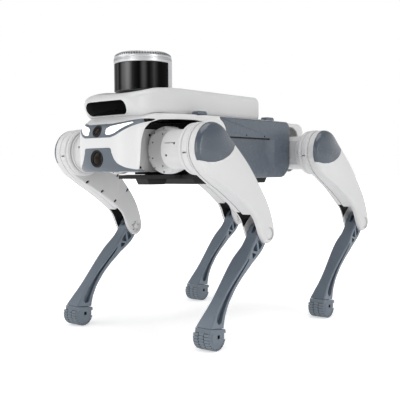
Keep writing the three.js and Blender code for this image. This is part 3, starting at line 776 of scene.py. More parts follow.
cam_u = revolve(rings_profile([(0, -15), (10.1, -15), (10.1, 1.4), (8.9, 1.8), (8.4, 0.2), (7.6, 0.0), (7.6, -0.6), (0, -0.6)], 0.4), (0, 0, 0), "x", 48, to=tilt)
cam_u.name = "work_cam_u"
polish(cam_u, 0)
done(cam_u, "upper_camera_ring", BLACK, "torso", "lens", "camera_upper")
lens_u = revolve([(0, -3), (7.4, -3), (7.4, -0.7), (6.8, 0.1), (5.0, 0.9), (2.6, 1.35), (0, 1.5)], (0, 0, 0), "x", 40, to=tilt)
polish(lens_u, 0)
done(lens_u, "upper_camera_lens", LENS, "torso", "lens")
cam_l = revolve(rings_profile([(0, 252), (14.2, 252), (14.2, 268.6), (13.2, 269.0), (12.2, 266.8), (11.2, 266.4), (11.2, 265.8), (0, 265.8)], 0.4), (0, 0, 310.3), "x", 56)
polish(cam_l, 0)
done(cam_l, "lower_camera_ring", BLACK, "torso", "lens", "camera_lower")
lens_l = revolve([(0, 262), (11.0, 262), (11.0, 266.0), (9.4, 267.0), (6.5, 267.9), (3.2, 268.4), (0, 268.6)], (0, 0, 310.3), "x", 48)
polish(lens_l, 0)
done(lens_l, "lower_camera_lens", LENS, "torso", "lens")

# ------------------------------------------------------------------------------------------
# white bulkheads in the hip openings, with their fasteners, and a row of vents above
bulk = prism(rounded([(106, 288), (106, 362.5), (226, 362.5), (233, 350), (234.5, 300), (234.5, 288)], [2, 5, 8, 14, 4, 2]), "y", 17.6, 20.4, 0.8, r0=0)
BSCR = ((163, 352), (212, 352), (222, 300), (186, 296))
for x, z in BSCR:
    bulk = cut(bulk, revolve([(0, 19.0), (2.4, 19.0), (2.4, 30), (0, 30)], (x, 0, z), "y", 24))
polish(bulk, 0.4)
screws_b = [revolve(rings_profile([(0, 18.4), (2.2, 18.4), (2.2, 20.3), (1.1, 20.3), (1.1, 19.6), (0, 19.6)], 0.2), (x, 0, z), "y", 20) for x, z in BSCR]
fast = merge(*screws_b)
polish(fast, 0)
vent = block(110, 226, 22.5, 26.5, 364.5, 373.5, 1.0, "y")
for k in range(9):
    x = 119 + 12 * k
    vent = cut(vent, block(x, x + 7.5, 24.4, 28, 367.0, 370.6, 1.2, "y"))
polish(vent, 0.3)
for tag, sy in (("l", 1), ("r", -1)):
    done(mirrored(bulk, 1, sy), "hip_bulkhead_" + tag, WHITE, "torso", "white")
    done(mirrored(fast, 1, sy), "bulkhead_screws_" + tag, BLACK, "torso", "steel")
    done(mirrored(vent, 1, sy), "vent_strip_" + tag, BLACK, "torso", "black")
kill(bulk, fast, vent)

# ------------------------------------------------------------------------------------------
# side panels: outer face pulled in under a sharp overhang
panel = prism(PANEL, "y", 96.0, 105.0, 2.6, 5, r0=0)
back = prism(ccw([(-152, 270), (-91, 270), (-91, 390), (-152, 390)]), "y", 90, 101.4)
panel = cut(panel, back)
gx = np.linspace(-104, 60, 60)
gz = np.r_[np.linspace(281.5, 350.8, 34)]
verts, faces = [], []
for z in gz:
    for x in gx:
        d = 7.6 * smooth(z, 279, 348) ** 0.8 * smooth(x, -99, -72) - 0.25
        if z > 350:
            d = max(d, -0.25)
        verts.append((x, 105.0 - d, z))
nx, nz = len(gx), len(gz)
for z in gz:
    for x in gx:
        verts.append((x, 109.0, z))
o = nx * nz
for j in range(nz - 1):
    for i in range(nx - 1):
        a = j * nx + i
        faces.append((a, a + 1, a + nx + 1, a + nx))
        faces.append((o + a, o + a + nx, o + a + nx + 1, o + a + 1))
for i in range(nx - 1):
    faces.append((i, o + i, o + i + 1, i + 1))
    a = (nz - 1) * nx + i
    faces.append((a, a + 1, o + a + 1, o + a))
for j in range(nz - 1):
    a = j * nx
    faces.append((a, a + nx, o + a + nx, o + a))
    a = j * nx + nx - 1
    faces.append((a, o + a, o + a + nx, a + nx))
scoop = obj_from(np.array(verts), faces)
panel = cut(panel, scoop)
for x, z in ((-5, 354.3), (-62, 354.0)):
    panel = cut(panel, revolve([(0, 102.5), (1.8, 102.5), (1.8, 107), (0, 107)], (x, 0, z), "y", 20))
# shadow gap right under the overhang; its faces are then painted black, a painted shadow under the ledge
panel = cut(panel, block(-84, 55, 97.0, 107, 348.7, 350.9, 0))
polish(panel, 0.5)
# painted shadow: the groove's faces under the overhang take the black finish
paint(panel, lambda c, n: 348.5 < c[2] < 351.2 and -84.5 < c[0] < 55.5 and c[1] < 104.6)
done(panel, "side_panel_l", GREY, "torso", "grey", "side_panel_left", extra=(BLACK,))
done(mirrored(panel, 1, -1), "side_panel_r", GREY, "torso", "grey", "side_panel_right", extra=(BLACK,))

# payload rails
rail = block(-106, 123.5, 85.5, 92.5, DECK + 0.3, DECK + 1.4, 0.4)
for a, b in ((98, 123.5), (-106, -80)):
    p = rounded([(a, DECK + 0.4), (a + 0.5, 390), (a + 3, 392.4), (b - 3, 392.4), (b - 0.5, 390), (b, DECK + 0.4)], [0, 2, 2, 2, 2, 0])
    c = prism(p, "y", 82.5, 96.8, 1.4)
    c = cut(c, block(a + 7, b - 7, 87, 92.5, 390.7, 396, 1.5))
    rail = join(rail, c)
polish(rail, 0.35)
done(rail, "rail_l", GREY, "torso", "grey", "payload_rail_left")
done(mirrored(rail, 1, -1), "rail_r", GREY, "torso", "grey", "payload_rail_right")

# ------------------------------------------------------------------------------------------
# sensor module
MP = resample(rounded(half([(252, 0.01), (251.6, 30), (249, 50), (236, 66), (214, 72), (-84, 72), (-94.5, 70), (-94.5, 10)]), [0, 30, 34, 30, 30, 10, 9, 0] + [0, 9, 10, 30, 30, 34, 30, 0], 6), 4.0)


def mod_top(x):
    return np.interp(x, [-100, 130, 160, 185, 205, 222, 236, 246, 252, 260], [432, 432, 431.2, 429.2, 426.6, 423.4, 420.0, 417.0, 414.4, 412])


def mod_low(x):
    return np.interp(x, [-100, 196, 212, 224, 236, 245, 252, 260], [DECK + 1, DECK + 1, 385.6, 382.6, 380.2, 379.4, 379.2, 379.2])


def mod_front(z):
    return np.interp(z, [376, 379.5, 386, 393, 400, 408, 413, 418, 424, 432], [236, 238.5, 245.5, 250.3, 252, 251.6, 250.0, 246.6, 240, 226])


def module(d=0.0, r=9.0):
    rings = []
    lv = [(0.0, 3.2), (0.06, 1.3), (0.14, 0.3), (0.24, 0.0)] + [(float(t), 0.0) for t in np.linspace(0.3, 0.70, 7)]
    n = 8
    for k in range(1, n + 1):
        t = math.pi / 2 * k / n
        lv.append((0.72 + 0.28 * math.sin(t), r * (1 - math.cos(t))))
    base = inset(MP, d)
    for h, e in lv:
        p = inset(base, e)
        x, y = p[:, 0], p[:, 1]
        lo, hi = mod_low(x) + d, mod_top(x) - d
        z = lo + (hi - lo) * h
        w = smooth(x, 190, 252)
        x2 = x - (252 - mod_front(z)) * w
        rings.append(np.stack([x2, y, z], 1))
    return loft(rings)


mo = module()
mi = module(4.0, 6.0)
WIN = ccw(np.vstack([arc(36.8, 394.4, 11.1, -90, 90, 14), arc(-36.8, 394.4, 11.1, 90, 270, 14)]))
window = both(copy(mo), prism(WIN, "x", 240, 300))
shellm = cut(mo, mi, prism(inset(WIN, -0.35), "x", 225, 300), revolve([(0, 427.4), (51.3, 427.4), (51.3, 440), (0, 440)], (LIDAR_X, 0, 0), "z", 96), block(-70, 190, -50, 50, 370, 395))
# the module stands clear of the nose
ho = hull(-0.4, DECK + 0.4, 284, 6)
shellm = cut(largest(shellm), both(ho, block(180, 300, -100, 100, 360, 400)))
polish(largest(shellm), 0.7)
done(shellm, "sensor_module_shell", MODULE_WHITE, "torso", "white", "module_shell")
for v in window.data.vertices:
    if v.co.x * 1000 - SX > 246:
        v.co.x -= 0.0005
polish(window, 0.4)
done(window, "sensor_module_window", GLOSS, "torso", "gloss_black", "module_window")

# ------------------------------------------------------------------------------------------
# lidar
LX = (LIDAR_X, 0, 0)
cap = revolve(rings_profile([(0, 475.3), (49.6, 475.3), (50.9, 476.2), (50.9, 484.0), (50.3, 484.5), (50.3, 487.0), (49.3, 490.6), (46.4, 492.8), (44.4, 492.8), (43.6, 494.4), (0, 494.4)], 0.7, 4), LX, "z", 144)
slots = []
for k in range(66):
    a = 2 * math.pi * k / 66
    ca, sa = math.cos(a), math.sin(a)
    q = []
    for r, z in ((46.6, 488.4), (54, 488.4), (54, 499), (46.6, 499)):
        q.append((r, z))
    vs = []
    for w in (-1.3, 1.3):
        for r, z in q:
            vs.append((LIDAR_X + r * ca - w * sa, r * sa + w * ca, z))
    slots.append(obj_from(vs, [(0, 1, 2, 3), (7, 6, 5, 4), (0, 4, 5, 1), (1, 5, 6, 2), (2, 6, 7, 3), (3, 7, 4, 0)]))
for k in range(120):
    a = 2 * math.pi * k / 120
    ca, sa = math.cos(a), math.sin(a)
    vs = []
    for w in (-0.55, 0.55):
        for r, z in ((50.2, 479.6), (54, 479.6), (54, 483.6), (50.2, 483.6)):
            vs.append((LIDAR_X + r * ca - w * sa, r * sa + w * ca, z))
    slots.append(obj_from(vs, [(0, 1, 2, 3), (7, 6, 5, 4), (0, 4, 5, 1), (1, 5, 6, 2), (2, 6, 7, 3), (3, 7, 4, 0)]))
slot_tool = merge(*slots)
cap = cut(cap, slot_tool)
base = revolve(rings_profile([(12, 428.2), (49.8, 428.2), (49.8, 433.0), (12, 433.0), (12, 428.2)], 0.4), LX, "z", 96)


def ring_sector(r0, r1, z0, z1, a0, a1, n=48, e=1.0):
    out = arc(LIDAR_X, 0, r1, a0, a1, n)
    inn = arc(LIDAR_X, 0, r0, a1, a0, n)
    return prism(rounded(np.vstack([out, inn]), 0), "z", z0, z1)


back = ring_sector(45, 51, 432.4, 478, 103.5, 256.5)
# painted shade: a black ring at the bottom of the cap's slots so they read dark
dark = revolve(rings_profile([(45.2, 488.7), (49.1, 488.7), (48.1, 490.9), (46.9, 492.1), (45.2, 492.1), (45.2, 488.7)], 0.3), LX, "z", 96)
polish(dark, 0)
done(dark, "lidar_slot_shade_ring", BLACK, "torso", "black")
polish(cap, 0.25, 40)
polish(back, 0.5)
lid = merge(cap, base, back)
done(lid, "lidar_housing_shell", SILVER, "torso", "silver", "lidar_housing")
win = ring_sector(46, 50.3, 428.4, 475.0, -103.2, 103.2, 72)
polish(win, 0.3)
done(win, "lidar_window_glass", SMOKED, "torso", "gloss_black", "lidar_window")

# ------------------------------------------------------------------------------------------
# legs, drawn for the front left corner
T_OUT = chaikin([(10, 43), (40, 35.5), (80, 21.5), (118, 12), (136, 8.5), (150, 6), (163, 7.5), (176, 12), (188, 16), (200, 18),
                 (209, 15.6), (215.5, 9), (218, 0), (216, -9.5), (208, -17.5), (196, -24), (184, -29.5), (171, -34), (153, -38),
                 (131, -40), (106, -41.5), (82, -42.5), (42, -43), (0, -43.3), (-16.5, -40), (-30.6, -30.6), (-40, -16.5),
                 (-43.3, 0), (-40, 16.5), (-30.6, 30.6), (-16.5, 40)], 2)
T_OUT = resample(T_OUT, 3.0)
C_LOW = [(-20, 60), (-13.5, 41), (-7, 36.5), (0, 31.5), (11, 19.5), (19, 6), (25, -10), (28.5, -27), (29, -60)]
CAP_CUT = rounded(C_LOW + [(-70, -60), (-70, 60)], [0, 6, 8, 10, 14, 18, 18, 14, 0, 0, 0])


def blade(y0, crest, p=T_OUT):
    """thigh's outer body: shoulder rounded over, more at the root"""
    s = p[:, 0]
    R = 9 + 25 * (1 - smooth(s, -5, 80))
    H = 9.5 + 7.0 * (1 - smooth(s, 0, 80))
    g = inset(p, 1.3)
    rings = [thigh_pt(at_y(g, y0)), thigh_pt(at_y(g, y0 + 1.3)), thigh_pt(at_y(p, y0 + 2.2)), thigh_pt(at_y(p, y0 + 6.0))]
    base = crest - H
    for k in range(9):
        t = math.pi / 2 * k / 8
        q = inset(p, R * (1 - math.cos(t)) * 0.98)
        rings.append(thigh_pt(np.stack([q[:, 0], base + H * math.sin(t), q[:, 1]], 1)))
    return loft(rings)


def leg_prism(p, y0, y1, r=0.0, r0=None):
    return prism(np.asarray(p), "y", y0, y1, r, 3, thigh_pt, r0)


def crown(low=140.0, top=184.6):
    ss = np.linspace(-52, 228, 57)
    ts = np.linspace(-54, 54, 28)
    v, f = [], []
    for a in ss:
        t0 = np.interp(a, [0, 100, 150, 200], [0, -14, -15, 0])
        rc = 190.0 + 130.0 * float(smooth(a, 20, 90))
        for t in ts:
            v.append((a, top - (t - t0) ** 2 / rc - max(0.0, 6 - a) ** 2 / 260.0, t))
    n, o = len(ts), len(ss) * len(ts)
    for a in ss:
        for t in ts:
            v.append((a, low, t))
    for i in range(len(ss) - 1):
        for j in range(n - 1):
            q = i * n + j
            f.append((q, q + 1, q + n + 1, q + n))
            f.append((o + q, o + q + n, o + q + n + 1, o + q + 1))
        q = i * n
        f.append((q, q + n, o + q + n, o + q))
        q = i * n + n - 1
        f.append((q, o + q, o + q + n, q + n))
    for j in range(n - 1):
        f.append((j, o + j, o + j + 1, j + 1))
        q = (len(ss) - 1) * n + j
        f.append((q, q + 1, o + q + 1, o + q))
    return obj_from(thigh_pt(np.array(v)), f)


body_o = both(blade(155.3, 185.4), crown())
hip_cap = both(copy(body_o), leg_prism(CAP_CUT, 168.3, 200))
hollow = leg_prism(inset(resample(T_OUT, 6), 5.0), 150, 176)
slot_box = leg_prism(rounded([(146, -70), (260, -70), (260, 70), (146, 70)], [10, 0, 0, 10]), 150, 173.8)
t_out = cut(body_o, slot_box)
hollow = cut(hollow, leg_prism([(143, -70), (260, -70), (260, 70), (143, 70)], 140, 190))
t_out = cut(t_out, hollow)
t_out = cut(t_out, leg_prism(inset(CAP_CUT, -0.35), 168.0, 200))
t_out = cut(t_out, revolve([(0, 180.6), (9.6, 180.6), (10.8, 181.6), (11.6, 190), (0, 190)], (KNEE[0], 0, KNEE[1]), "y", 40))
t_out = cut(t_out, revolve([(0, 160), (5.4, 160), (5.4, 195), (0, 195)], (KNEE[0], 0, KNEE[1]), "y", 32))
t_out = cut(t_out, revolve([(6.3, 178.4), (9.0, 178.4), (9.0, 182.4), (6.3, 182.4), (6.3, 178.4)], (KNEE[0], 0, KNEE[1]), "y", 40))
polish(t_out, 0.55)
polish(hip_cap, 0.5)

# inner half: plate, rolled rim, collar rings, knee cheek
def inner_plate():
    def y_in(q):
        return 147.6 - 4.5 * smooth(q[:, 0], 40, 140)
    rings = []
    for k in range(5):
        t = math.pi / 2 * k / 4
        q = inset(T_OUT, 3.0 * (1 - math.sin(t)))
        rings.append(thigh_pt(np.stack([q[:, 0], y_in(T_OUT) + 3.0 * (1 - math.cos(t)), q[:, 1]], 1)))
    rings.append(thigh_pt(at_y(T_OUT, 155.0)))
    return loft(rings)


t_in = inner_plate()
t_in = cut(t_in, leg_prism(rounded([(146, -70), (260, -70), (260, 70), (146, 70)], [10, 0, 0, 10]), 148.6, 160))
t_in = cut(t_in, leg_prism(rounded([(140, -70), (178, -70), (172, 0), (178, 70), (140, 70)], [0, 0, 12, 0, 0]), 147.4, 160))
collar = revolve(rings_profile([(0, 132.0), (39.6, 132.0), (42.4, 134.2), (42.5, 138.6), (40.8, 139.8), (40.8, 141.0), (43.0, 142.4), (43.3, 145.0), (43.3, 152.5), (0, 152.5)], 0.7), (HIP_X, 0, HIP_Z), "y", 72)
t_in = join(t_in, collar)
t_in = cut(t_in, revolve([(0, 145), (35, 145), (35, 160), (0, 160)], (HIP_X, 0, HIP_Z), "y", 56))
t_in = cut(t_in, revolve([(0, 130), (5.4, 130), (5.4, 160), (0, 160)], (KNEE[0], 0, KNEE[1]), "y", 32))
# knee recess with five holes, and screw pockets along the inner edge
t_in = cut(t_in, revolve([(0, 140), (11.6, 140), (11.6, 144.8), (0, 144.8)], (KNEE[0], 0, KNEE[1]), "y", 40))
for k in range(5):
    a = math.radians(90 + 72 * k)
    t_in = cut(t_in, revolve([(0, 144.0), (1.3, 144.0), (1.3, 147.6), (0, 147.6)], (KNEE[0] + 8.4 * math.cos(a), 0, KNEE[1] + 8.4 * math.sin(a)), "y", 12))


def inside_edge(c, d=1.2):
    """true when a point of the thigh lies more than d inside its outline"""
    q = thigh_st(c)
    e = np.asarray(T_OUT)
    f = np.roll(e, -1, 0)
    u = f - e
    t = np.clip(((q[0] - e[:, 0]) * u[:, 0] + (q[1] - e[:, 1]) * u[:, 1]) / np.sum(u * u, 1), 0, 1)
    return float(np.min(np.hypot(e[:, 0] + t * u[:, 0] - q[0], e[:, 1] + t * u[:, 1] - q[1]))) > d


def pill(s, t, ang, l, w):
    a = math.radians(ang)
    u, v = np.array([math.cos(a), math.sin(a)]), np.array([-math.sin(a), math.cos(a)])
    c = np.array([s, t])
    out = []
    for q in arc(l / 2 - w / 2, 0, w / 2, -90, 90, 6):
        out.append(c + u * q[0] + v * q[1])
    for q in arc(-l / 2 + w / 2, 0, w / 2, 90, 270, 6):
        out.append(c + u * q[0] + v * q[1])
    return np.array(out)


PILLS = ((50, 26.5, -75), (88, 13.5, -75), (124, 4.0, -80), (56, -37, 80), (94, -36.5, 80), (132, -34.0, 80))
inserts = []
for s, t, g in PILLS:
    yb = 147.6 - 4.5 * float(smooth(s, 40, 140)) + 2.0
    inserts.append(leg_prism(pill(s, t, g, 8.4, 4.1), yb - 0.4, yb + 0.5))
    t_in = cut(t_in, leg_prism(pill(s, t, g, 8.5, 4.2), 138, 147.6 - 4.5 * float(smooth(s, 40, 140)) + 2.2))
for k in range(5):
    a = math.radians(90 + 72 * k)
    inserts.append(revolve([(0, 146.6), (1.9, 146.6), (1.9, 145.0), (0, 145.0)], (KNEE[0] + 7.6 * math.cos(a), 0, KNEE[1] + 7.6 * math.sin(a)), "y", 14))
pins_t = merge(*inserts)
polish(pins_t, 0)
# dark slot on the root ring
t_in = cut(t_in, block(HIP_X + 38, HIP_X + 46, 143.2, 152, HIP_Z - 8.0, HIP_Z - 5.4))
polish(t_in, 0.45)

# hip housing
h = revolve(rings_profile([(0, 141), (36.5, 141), (38, 142.5), (38, 150), (40.5, 152.5), (40.5, 166.5), (39.0, 168.4), (39.0, 171.6), (34.4, 173.2), (33.0, 173.2), (33.0, 175.2), (0, 175.2)], 0.9), (0, ABAD_Y, HIP_Z), "x", 72)
barrel = revolve(rings_profile([(0, 86), (31.5, 86), (33, 88), (33, 125.0), (35.2, 127.4), (37.6, 127.8), (37.6, 130.8), (0, 130.8)], 0.8), (HIP_X, 0, HIP_Z), "y", 72)
web = block(150.5, 172.6, 62, 101, HIP_Z - 28, HIP_Z + 28, 9, "x")
h = join(h, web)
h2 = copy(h)
h = join(h, copy(barrel))
# the rear barrels are flattened where they swing past the side panel
flat = block(120, 151, 78, 122, 280, 370)
barrel_r = cut(barrel, flat)
h2 = join(h2, barrel_r)


def screws(ob, rear=False):
    for k in range(10):
        a = math.radians(18 + 36 * k)
        y, z = ABAD_Y + 36.6 * math.cos(a), HIP_Z + 36.6 * math.sin(a)
        ob = cut(ob, revolve([(0, 169.2), (1.9, 169.2), (1.9, 180), (0, 180)], (0, y, z), "x", 16))
    for k in range(6):
        a = math.radians(60 * k + 30)
        ob = cut(ob, revolve([(0, 173.8), (1.6, 173.8), (1.6, 180), (0, 180)], (0, ABAD_Y + 27 * math.cos(a), HIP_Z + 27 * math.sin(a)), "x", 16))
    # cover seam and two fasteners on the barrel
    ob = cut(ob, block(HIP_X + 20, HIP_X + 40, 94, 118, HIP_Z + 9.4, HIP_Z + 10.4))
    for y, z in ((116, 9), (98, -10)):
        x = math.sqrt(33**2 - z**2)
        ob = cut(ob, revolve([(0, HIP_X + x - 2.0), (2.0, HIP_X + x - 2.0), (2.0, HIP_X + x + 6), (0, HIP_X + x + 6)], (0, y, HIP_Z + z), "x", 16))
    return ob


def hip_pins():
    """fasteners standing in the housing's pockets, and the two on the barrel"""
    out = []
    for k in range(10):
        a = math.radians(18 + 36 * k)
        out.append(revolve([(0, 168.8), (1.8, 168.8), (1.8, 170.2), (0, 170.2)], (0, ABAD_Y + 36.6 * math.cos(a), HIP_Z + 36.6 * math.sin(a)), "x", 14))
    for k in range(6):
        a = math.radians(60 * k + 30)
        out.append(revolve([(0, 173.4), (1.5, 173.4), (1.5, 174.4), (0, 174.4)], (0, ABAD_Y + 27 * math.cos(a), HIP_Z + 27 * math.sin(a)), "x", 14))
    for y, z in ((116, 9), (98, -10)):
        x = HIP_X + math.sqrt(33**2 - z**2)
        out.append(revolve([(0, x - 2.4), (1.9, x - 2.4), (1.9, x - 1.0), (0, x - 1.0)], (0, y, HIP_Z + z), "x", 14))
    return polish(merge(*out), 0)


pins_h = hip_pins()
h = screws(h)
h2 = screws(h2)
polish(h, 0.45)
polish(h2, 0.45)

# shank: lofted sections with rounded corners
edge_f = np.array([(-16.3, 0), (-14, 8), (-5, 15.2), (8, 15.6), (20, 13.6), (32, 13.2), (45, 14.2), (60, 15.4), (75, 16.8), (91, 18.5), (110, 20), (128, 21), (150, 21.6), (170, 22.2), (188, 22.7), (204, 22.5), (216, 22)])
edge_b = np.array([(-16.3, 0), (-14, -8), (-5, -15.4), (6, -16.4), (15, -16.4), (26, -16.3), (41, -12.8), (62, -4.8), (95, 1.7), (120, 3.7), (148, 2.2), (169, -2.8), (187, -10.8), (198, -19.2), (206, -21.2), (216, -20)])
half_w = np.array([(-16.3, 11.6), (20, 12.0), (41, 12.0), (52, 14.0), (66, 15.9), (81, 15.4), (102, 13.9), (118, 12.6), (135, 11.7), (155, 11.4), (172, 12.1), (190, 14.1), (207, 16.3), (216, 16.8)])


def section(s, n=7):
    """flat front with a crisp ridge to the sides, narrower and softer at the back"""
    f = np.interp(s, edge_f[:, 0], edge_f[:, 1])
    b = np.interp(s, edge_b[:, 0], edge_b[:, 1])
    w = np.interp(s, half_w[:, 0], half_w[:, 1])
    wb = w - 0.42 * max(0.0, w - 11.6)
    r1 = 2.2
    r2 = min(4.0, 0.4 * (f - b))
    out = []
    for cx, cy, r, a0 in ((w - r1, f - r1, r1, 0), (-(w - r1), f - r1, r1, 90), (-(wb - r2), b + r2, r2, 180), (wb - r2, b + r2, r2, 270)):
        for k in range(n):
            a = math.radians(a0 + 90 * k / (n - 1))
            out.append((s, LEG_Y + cx + r * math.cos(a), cy + r * math.sin(a)))
    return shank_pt(np.array(out))


def smooth_track(a):
    s = np.linspace(a[0, 0], a[-1, 0], 400)
    t = np.interp(s, a[:, 0], a[:, 1])
    k = np.ones(15) / 15
    tp = np.pad(t, 7, mode="edge")
    return np.stack([s, np.convolve(tp, k, "valid")], 1)


edge_f, edge_b, half_w = smooth_track(edge_f), smooth_track(edge_b), smooth_track(half_w)
sh = loft([section(s) for s in np.linspace(7, 216, 84)])
knuckle = revolve(rings_profile([(0, LEG_Y - 12.1), (16.0, LEG_Y - 12.1), (16.0, LEG_Y + 12.1), (0, LEG_Y + 12.1)], 1.6), (KNEE[0], 0, KNEE[1]), "y", 48)
psi = math.acos((THIGH_L**2 + SHANK_L**2 - (FOOT[0] - HIP_X) ** 2 - (HIP_Z - FOOT[1]) ** 2) / (2 * THIGH_L * SHANK_L))
ha = math.radians(258) - (math.pi - psi)
hp = np.array([20 * math.cos(ha), 20 * math.sin(ha)])
hb = math.degrees(ha)
ear = np.vstack([arc(hp[0], hp[1], 6.6, hb - 75, hb + 75, 10), arc(0, 0, 15.4, hb + 62, hb + 298, 20)])
horn = prism(ear, "y", LEG_Y - 11.6, LEG_Y + 11.6, 1.2, 3, shank_pt)
sh = join(sh, knuckle, horn)
c30, s30 = math.cos(math.pi / 6), math.sin(math.pi / 6)


def rod_line(k):
    return (hp[0] + k * c30 + 4.6 * s30, hp[1] + k * s30 - 4.6 * c30)


fan = ccw([rod_line(-6), rod_line(90), (60, 70), (-60, 70), (-60, rod_line(-6)[1])])
sh = cut(sh, prism(fan, "y", 157.8, 164.2, 0, 3, shank_pt))
sh = cut(sh, prism(circle(hp[0], hp[1], 7.0, 32), "y", 157.8, 164.2, 0, 3, shank_pt))
sh = cut(sh, revolve([(0, 140), (5.3, 140), (5.3, 180), (0, 180)], (KNEE[0], 0, KNEE[1]), "y", 32))
POCKET = rounded([(62, 9.4), (84, 10.2), (105, 11.4), (128, 11.8), (148, 9.8), (168, 6.2), (184, 2.0), (191, 6), (190, 14.6), (184, 18), (160, 18.2), (128, 17.4), (91, 14.8), (62, 12.0)], [1, 20, 20, 20, 20, 5, 5, 5, 6, 20, 20, 20, 20, 1])
TR = [rounded([(18.5, -8.4), (31.5, -7.4), (21.5, 5.8), (17.5, 5.6)], 1.4), rounded([(25.0, 8.2), (36.0, -4.6), (43.5, 8.6)], 1.4), rounded([(40.5, -5.2), (55.5, 0.6), (47.5, 8.0)], 1.4)]
for p in [POCKET] + TR:
    for a, b in ((LEG_Y + 5.2, LEG_Y + 25), (LEG_Y - 25, LEG_Y - 5.2)):
        sh = cut(sh, prism(p, "y", a, b, 0, 3, shank_pt))
sh = join(sh, prism(circle(hp[0], hp[1], 3.0, 24), "y", 152, 170, 0, 3, shank_pt))
FT = [(190.2, 37.6), (152.5, 32.6)]
low = prism(ccw([(90, FT[1][1] - 7.6), (152.5, FT[1][1] + 0.4), (190.2, FT[0][1] + 0.4), (250, FT[0][1] + 8.4), (250, -60), (90, -60)]), "y", 120, 200)
sh = cut(sh, low)
polish(sh, 0.45)

# foot: rubber boot with tread blocks round the front and bottom
FR = 22.0
under = []
for a in np.linspace(189, 387, 34):
    under.append((FOOT[0] + FR * math.cos(math.radians(a)), FOOT[1] + FR * math.sin(math.radians(a))))
F_OUT = resample(rounded([FT[1]] + under + [FT[0]], [1.5] + [0] * len(under) + [1.5]), 2.0)
F_OUT[:, 1] = np.maximum(F_OUT[:, 1], 0.0)
core = prism(inset(F_OUT, 1.5), "y", LEG_Y - 16.2, LEG_Y + 16.2, 3.0, 5)
cap_top = prism(ccw([(152.6, 31.9), (152.2, 26), (191.2, 29.0), (190.2, 37.3)]), "y", LEG_Y - 16.9, LEG_Y + 16.9, 1.2)
treads = []
for k, a in enumerate(np.arange(196, 384, 13.4)):
    for y0, y1 in ((-16.8, -6.2), (-5.2, 5.2), (6.2, 16.8)):
        off = 3.2 if abs(y0 + y1) < 1 else 0.0
        b0, b1 = math.radians(a + off), math.radians(a + off + 11.6)
        q = []
        for r in (FR - 3.4, FR - 0.05):
            for b in (b0, b1) if r < FR - 1 else (b1, b0):
                q.append((FOOT[0] + r * math.cos(b), max(FOOT[1] + r * math.sin(b), 0.0)))
        if max(p[1] for p in q) > 33.0:
            continue
        treads.append(prism(ccw(q), "y", LEG_Y + y0, LEG_Y + y1, 0.7, 2))
ft = join(core, *treads)
ft = join(ft, cap_top)
# side badge plate with a square hole
for s in (1, -1):
    a, b = sorted((LEG_Y + s * 15.7, LEG_Y + s * 16.95))
    pl = prism(rounded([(158, 18), (164, 10), (186, 12), (189, 26), (180, 32), (160, 30)], 4), "y", a, b, 0.4)
    ft = join(ft, pl)
    ft = cut(ft, block(168.5, 174.5, *sorted((LEG_Y + s * 13.0, LEG_Y + s * 18)), 19.5, 25.5, 0))
polish(ft, 0.35)
# painted shade: the walls of the square hole take the black finish
paint(ft, lambda c, n: 168.2 < c[0] < 174.8 and 19.2 < c[2] < 25.8 and 12.5 < abs(c[1] - LEG_Y) < 16.6)

# painted shade: the walls inside the knee fork slot of both shells take the black finish, standing in for the shadow
# in the slot
paint(t_in, lambda c, n: 146.8 < c[1] < 156 and thigh_st(c)[0] > 139 and (n[1] > 0.5 or abs(n[1]) < 0.3) and abs(c[1] - 148.6) > 0.3 and thigh_st(c)[0] < 178 and inside_edge(c))
paint(t_out, lambda c, n: 156 < c[1] < 174.2 and thigh_st(c)[0] > 139 and (n[1] < -0.5 or (n[0] * TU[0] + n[2] * TU[1]) > 0.5) and inside_edge(c))
# painted shade: the ring groove in the knee dish painted black for the shade of a deeper dish
paint(t_out, lambda c, n: 178.0 < c[1] < 180.4 and 6.0 < math.hypot(c[0] - KNEE[0], c[2] - KNEE[1]) < 9.3)
# painted shade: the core and tread walls between the tread blocks take the black finish
paint(ft, lambda c, n: 19.0 < math.hypot(c[0] - FOOT[0], c[2] - FOOT[1]) < 21.2 and abs(n[1]) < 0.6 and c[2] < 30)
CORNERS = (("fl", 1, 1), ("fr", 1, -1), ("rl", -1, 1), ("rr", -1, -1))
for tag, sx, sy in CORNERS:
    dx = 0 if sx > 0 else -2 * HIP_X
    done(mirrored(t_out, 1, sy, dx), "thigh_outer_shell_" + tag, LEG_WHITE, "thigh_" + tag, "white", "thigh_outer_" + tag, extra=(BLACK,))
    done(mirrored(t_in, 1, sy, dx), "thigh_inner_shell_" + tag, LEG_WHITE, "thigh_" + tag, "white", "thigh_inner_" + tag, extra=(BLACK,))
    done(mirrored(hip_cap, 1, sy, dx), "hip_cap_dome_" + tag, CAP_GREY, "thigh_" + tag, "grey", "hip_cap_" + tag)
    done(mirrored(sh, 1, sy, dx), "shank_body_" + tag, SHANK, "shin_" + tag, "shank_grey", "shank_" + tag)
    done(mirrored(ft, 1, sy, dx), "foot_boot_" + tag, RUBBER, "shin_" + tag, "foot_rubber", "foot_" + tag, extra=(BLACK,))
    done(mirrored(h if sx > 0 else h2, sx, sy), "hip_housing_shell_" + tag, LEG_WHITE, "hip_" + tag, "white", "hip_housing_" + tag)
    done(mirrored(pins_h, sx, sy), "hip_fasteners_" + tag, BLACK, "hip_" + tag, "steel")
    done(mirrored(pins_t, 1, sy, dx), "thigh_fasteners_" + tag, BLACK, "thigh_" + tag, "steel")
kill(t_out, t_in, hip_cap, sh, ft, h, h2, outer, pins_h, pins_t)

# CAD pieces that keep their shape
for node, mat in [("chassis", DARK), ("battery_pack", BLACK), ("belly_plate", BLACK), ("lidar_rotor", DARK)]:
    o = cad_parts[node]
    o.data.materials.clear()
    o.data.materials.append(mat)
for tag, _, _ in CORNERS:
    for node, mat in (("roll_motor_", DARK), ("knee_crank_", STEEL), ("knee_rod_", STEEL), ("knee_axle_", LEG_WHITE)):
        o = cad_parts[node + tag]
        o.data.materials.clear()
        o.data.materials.append(mat)

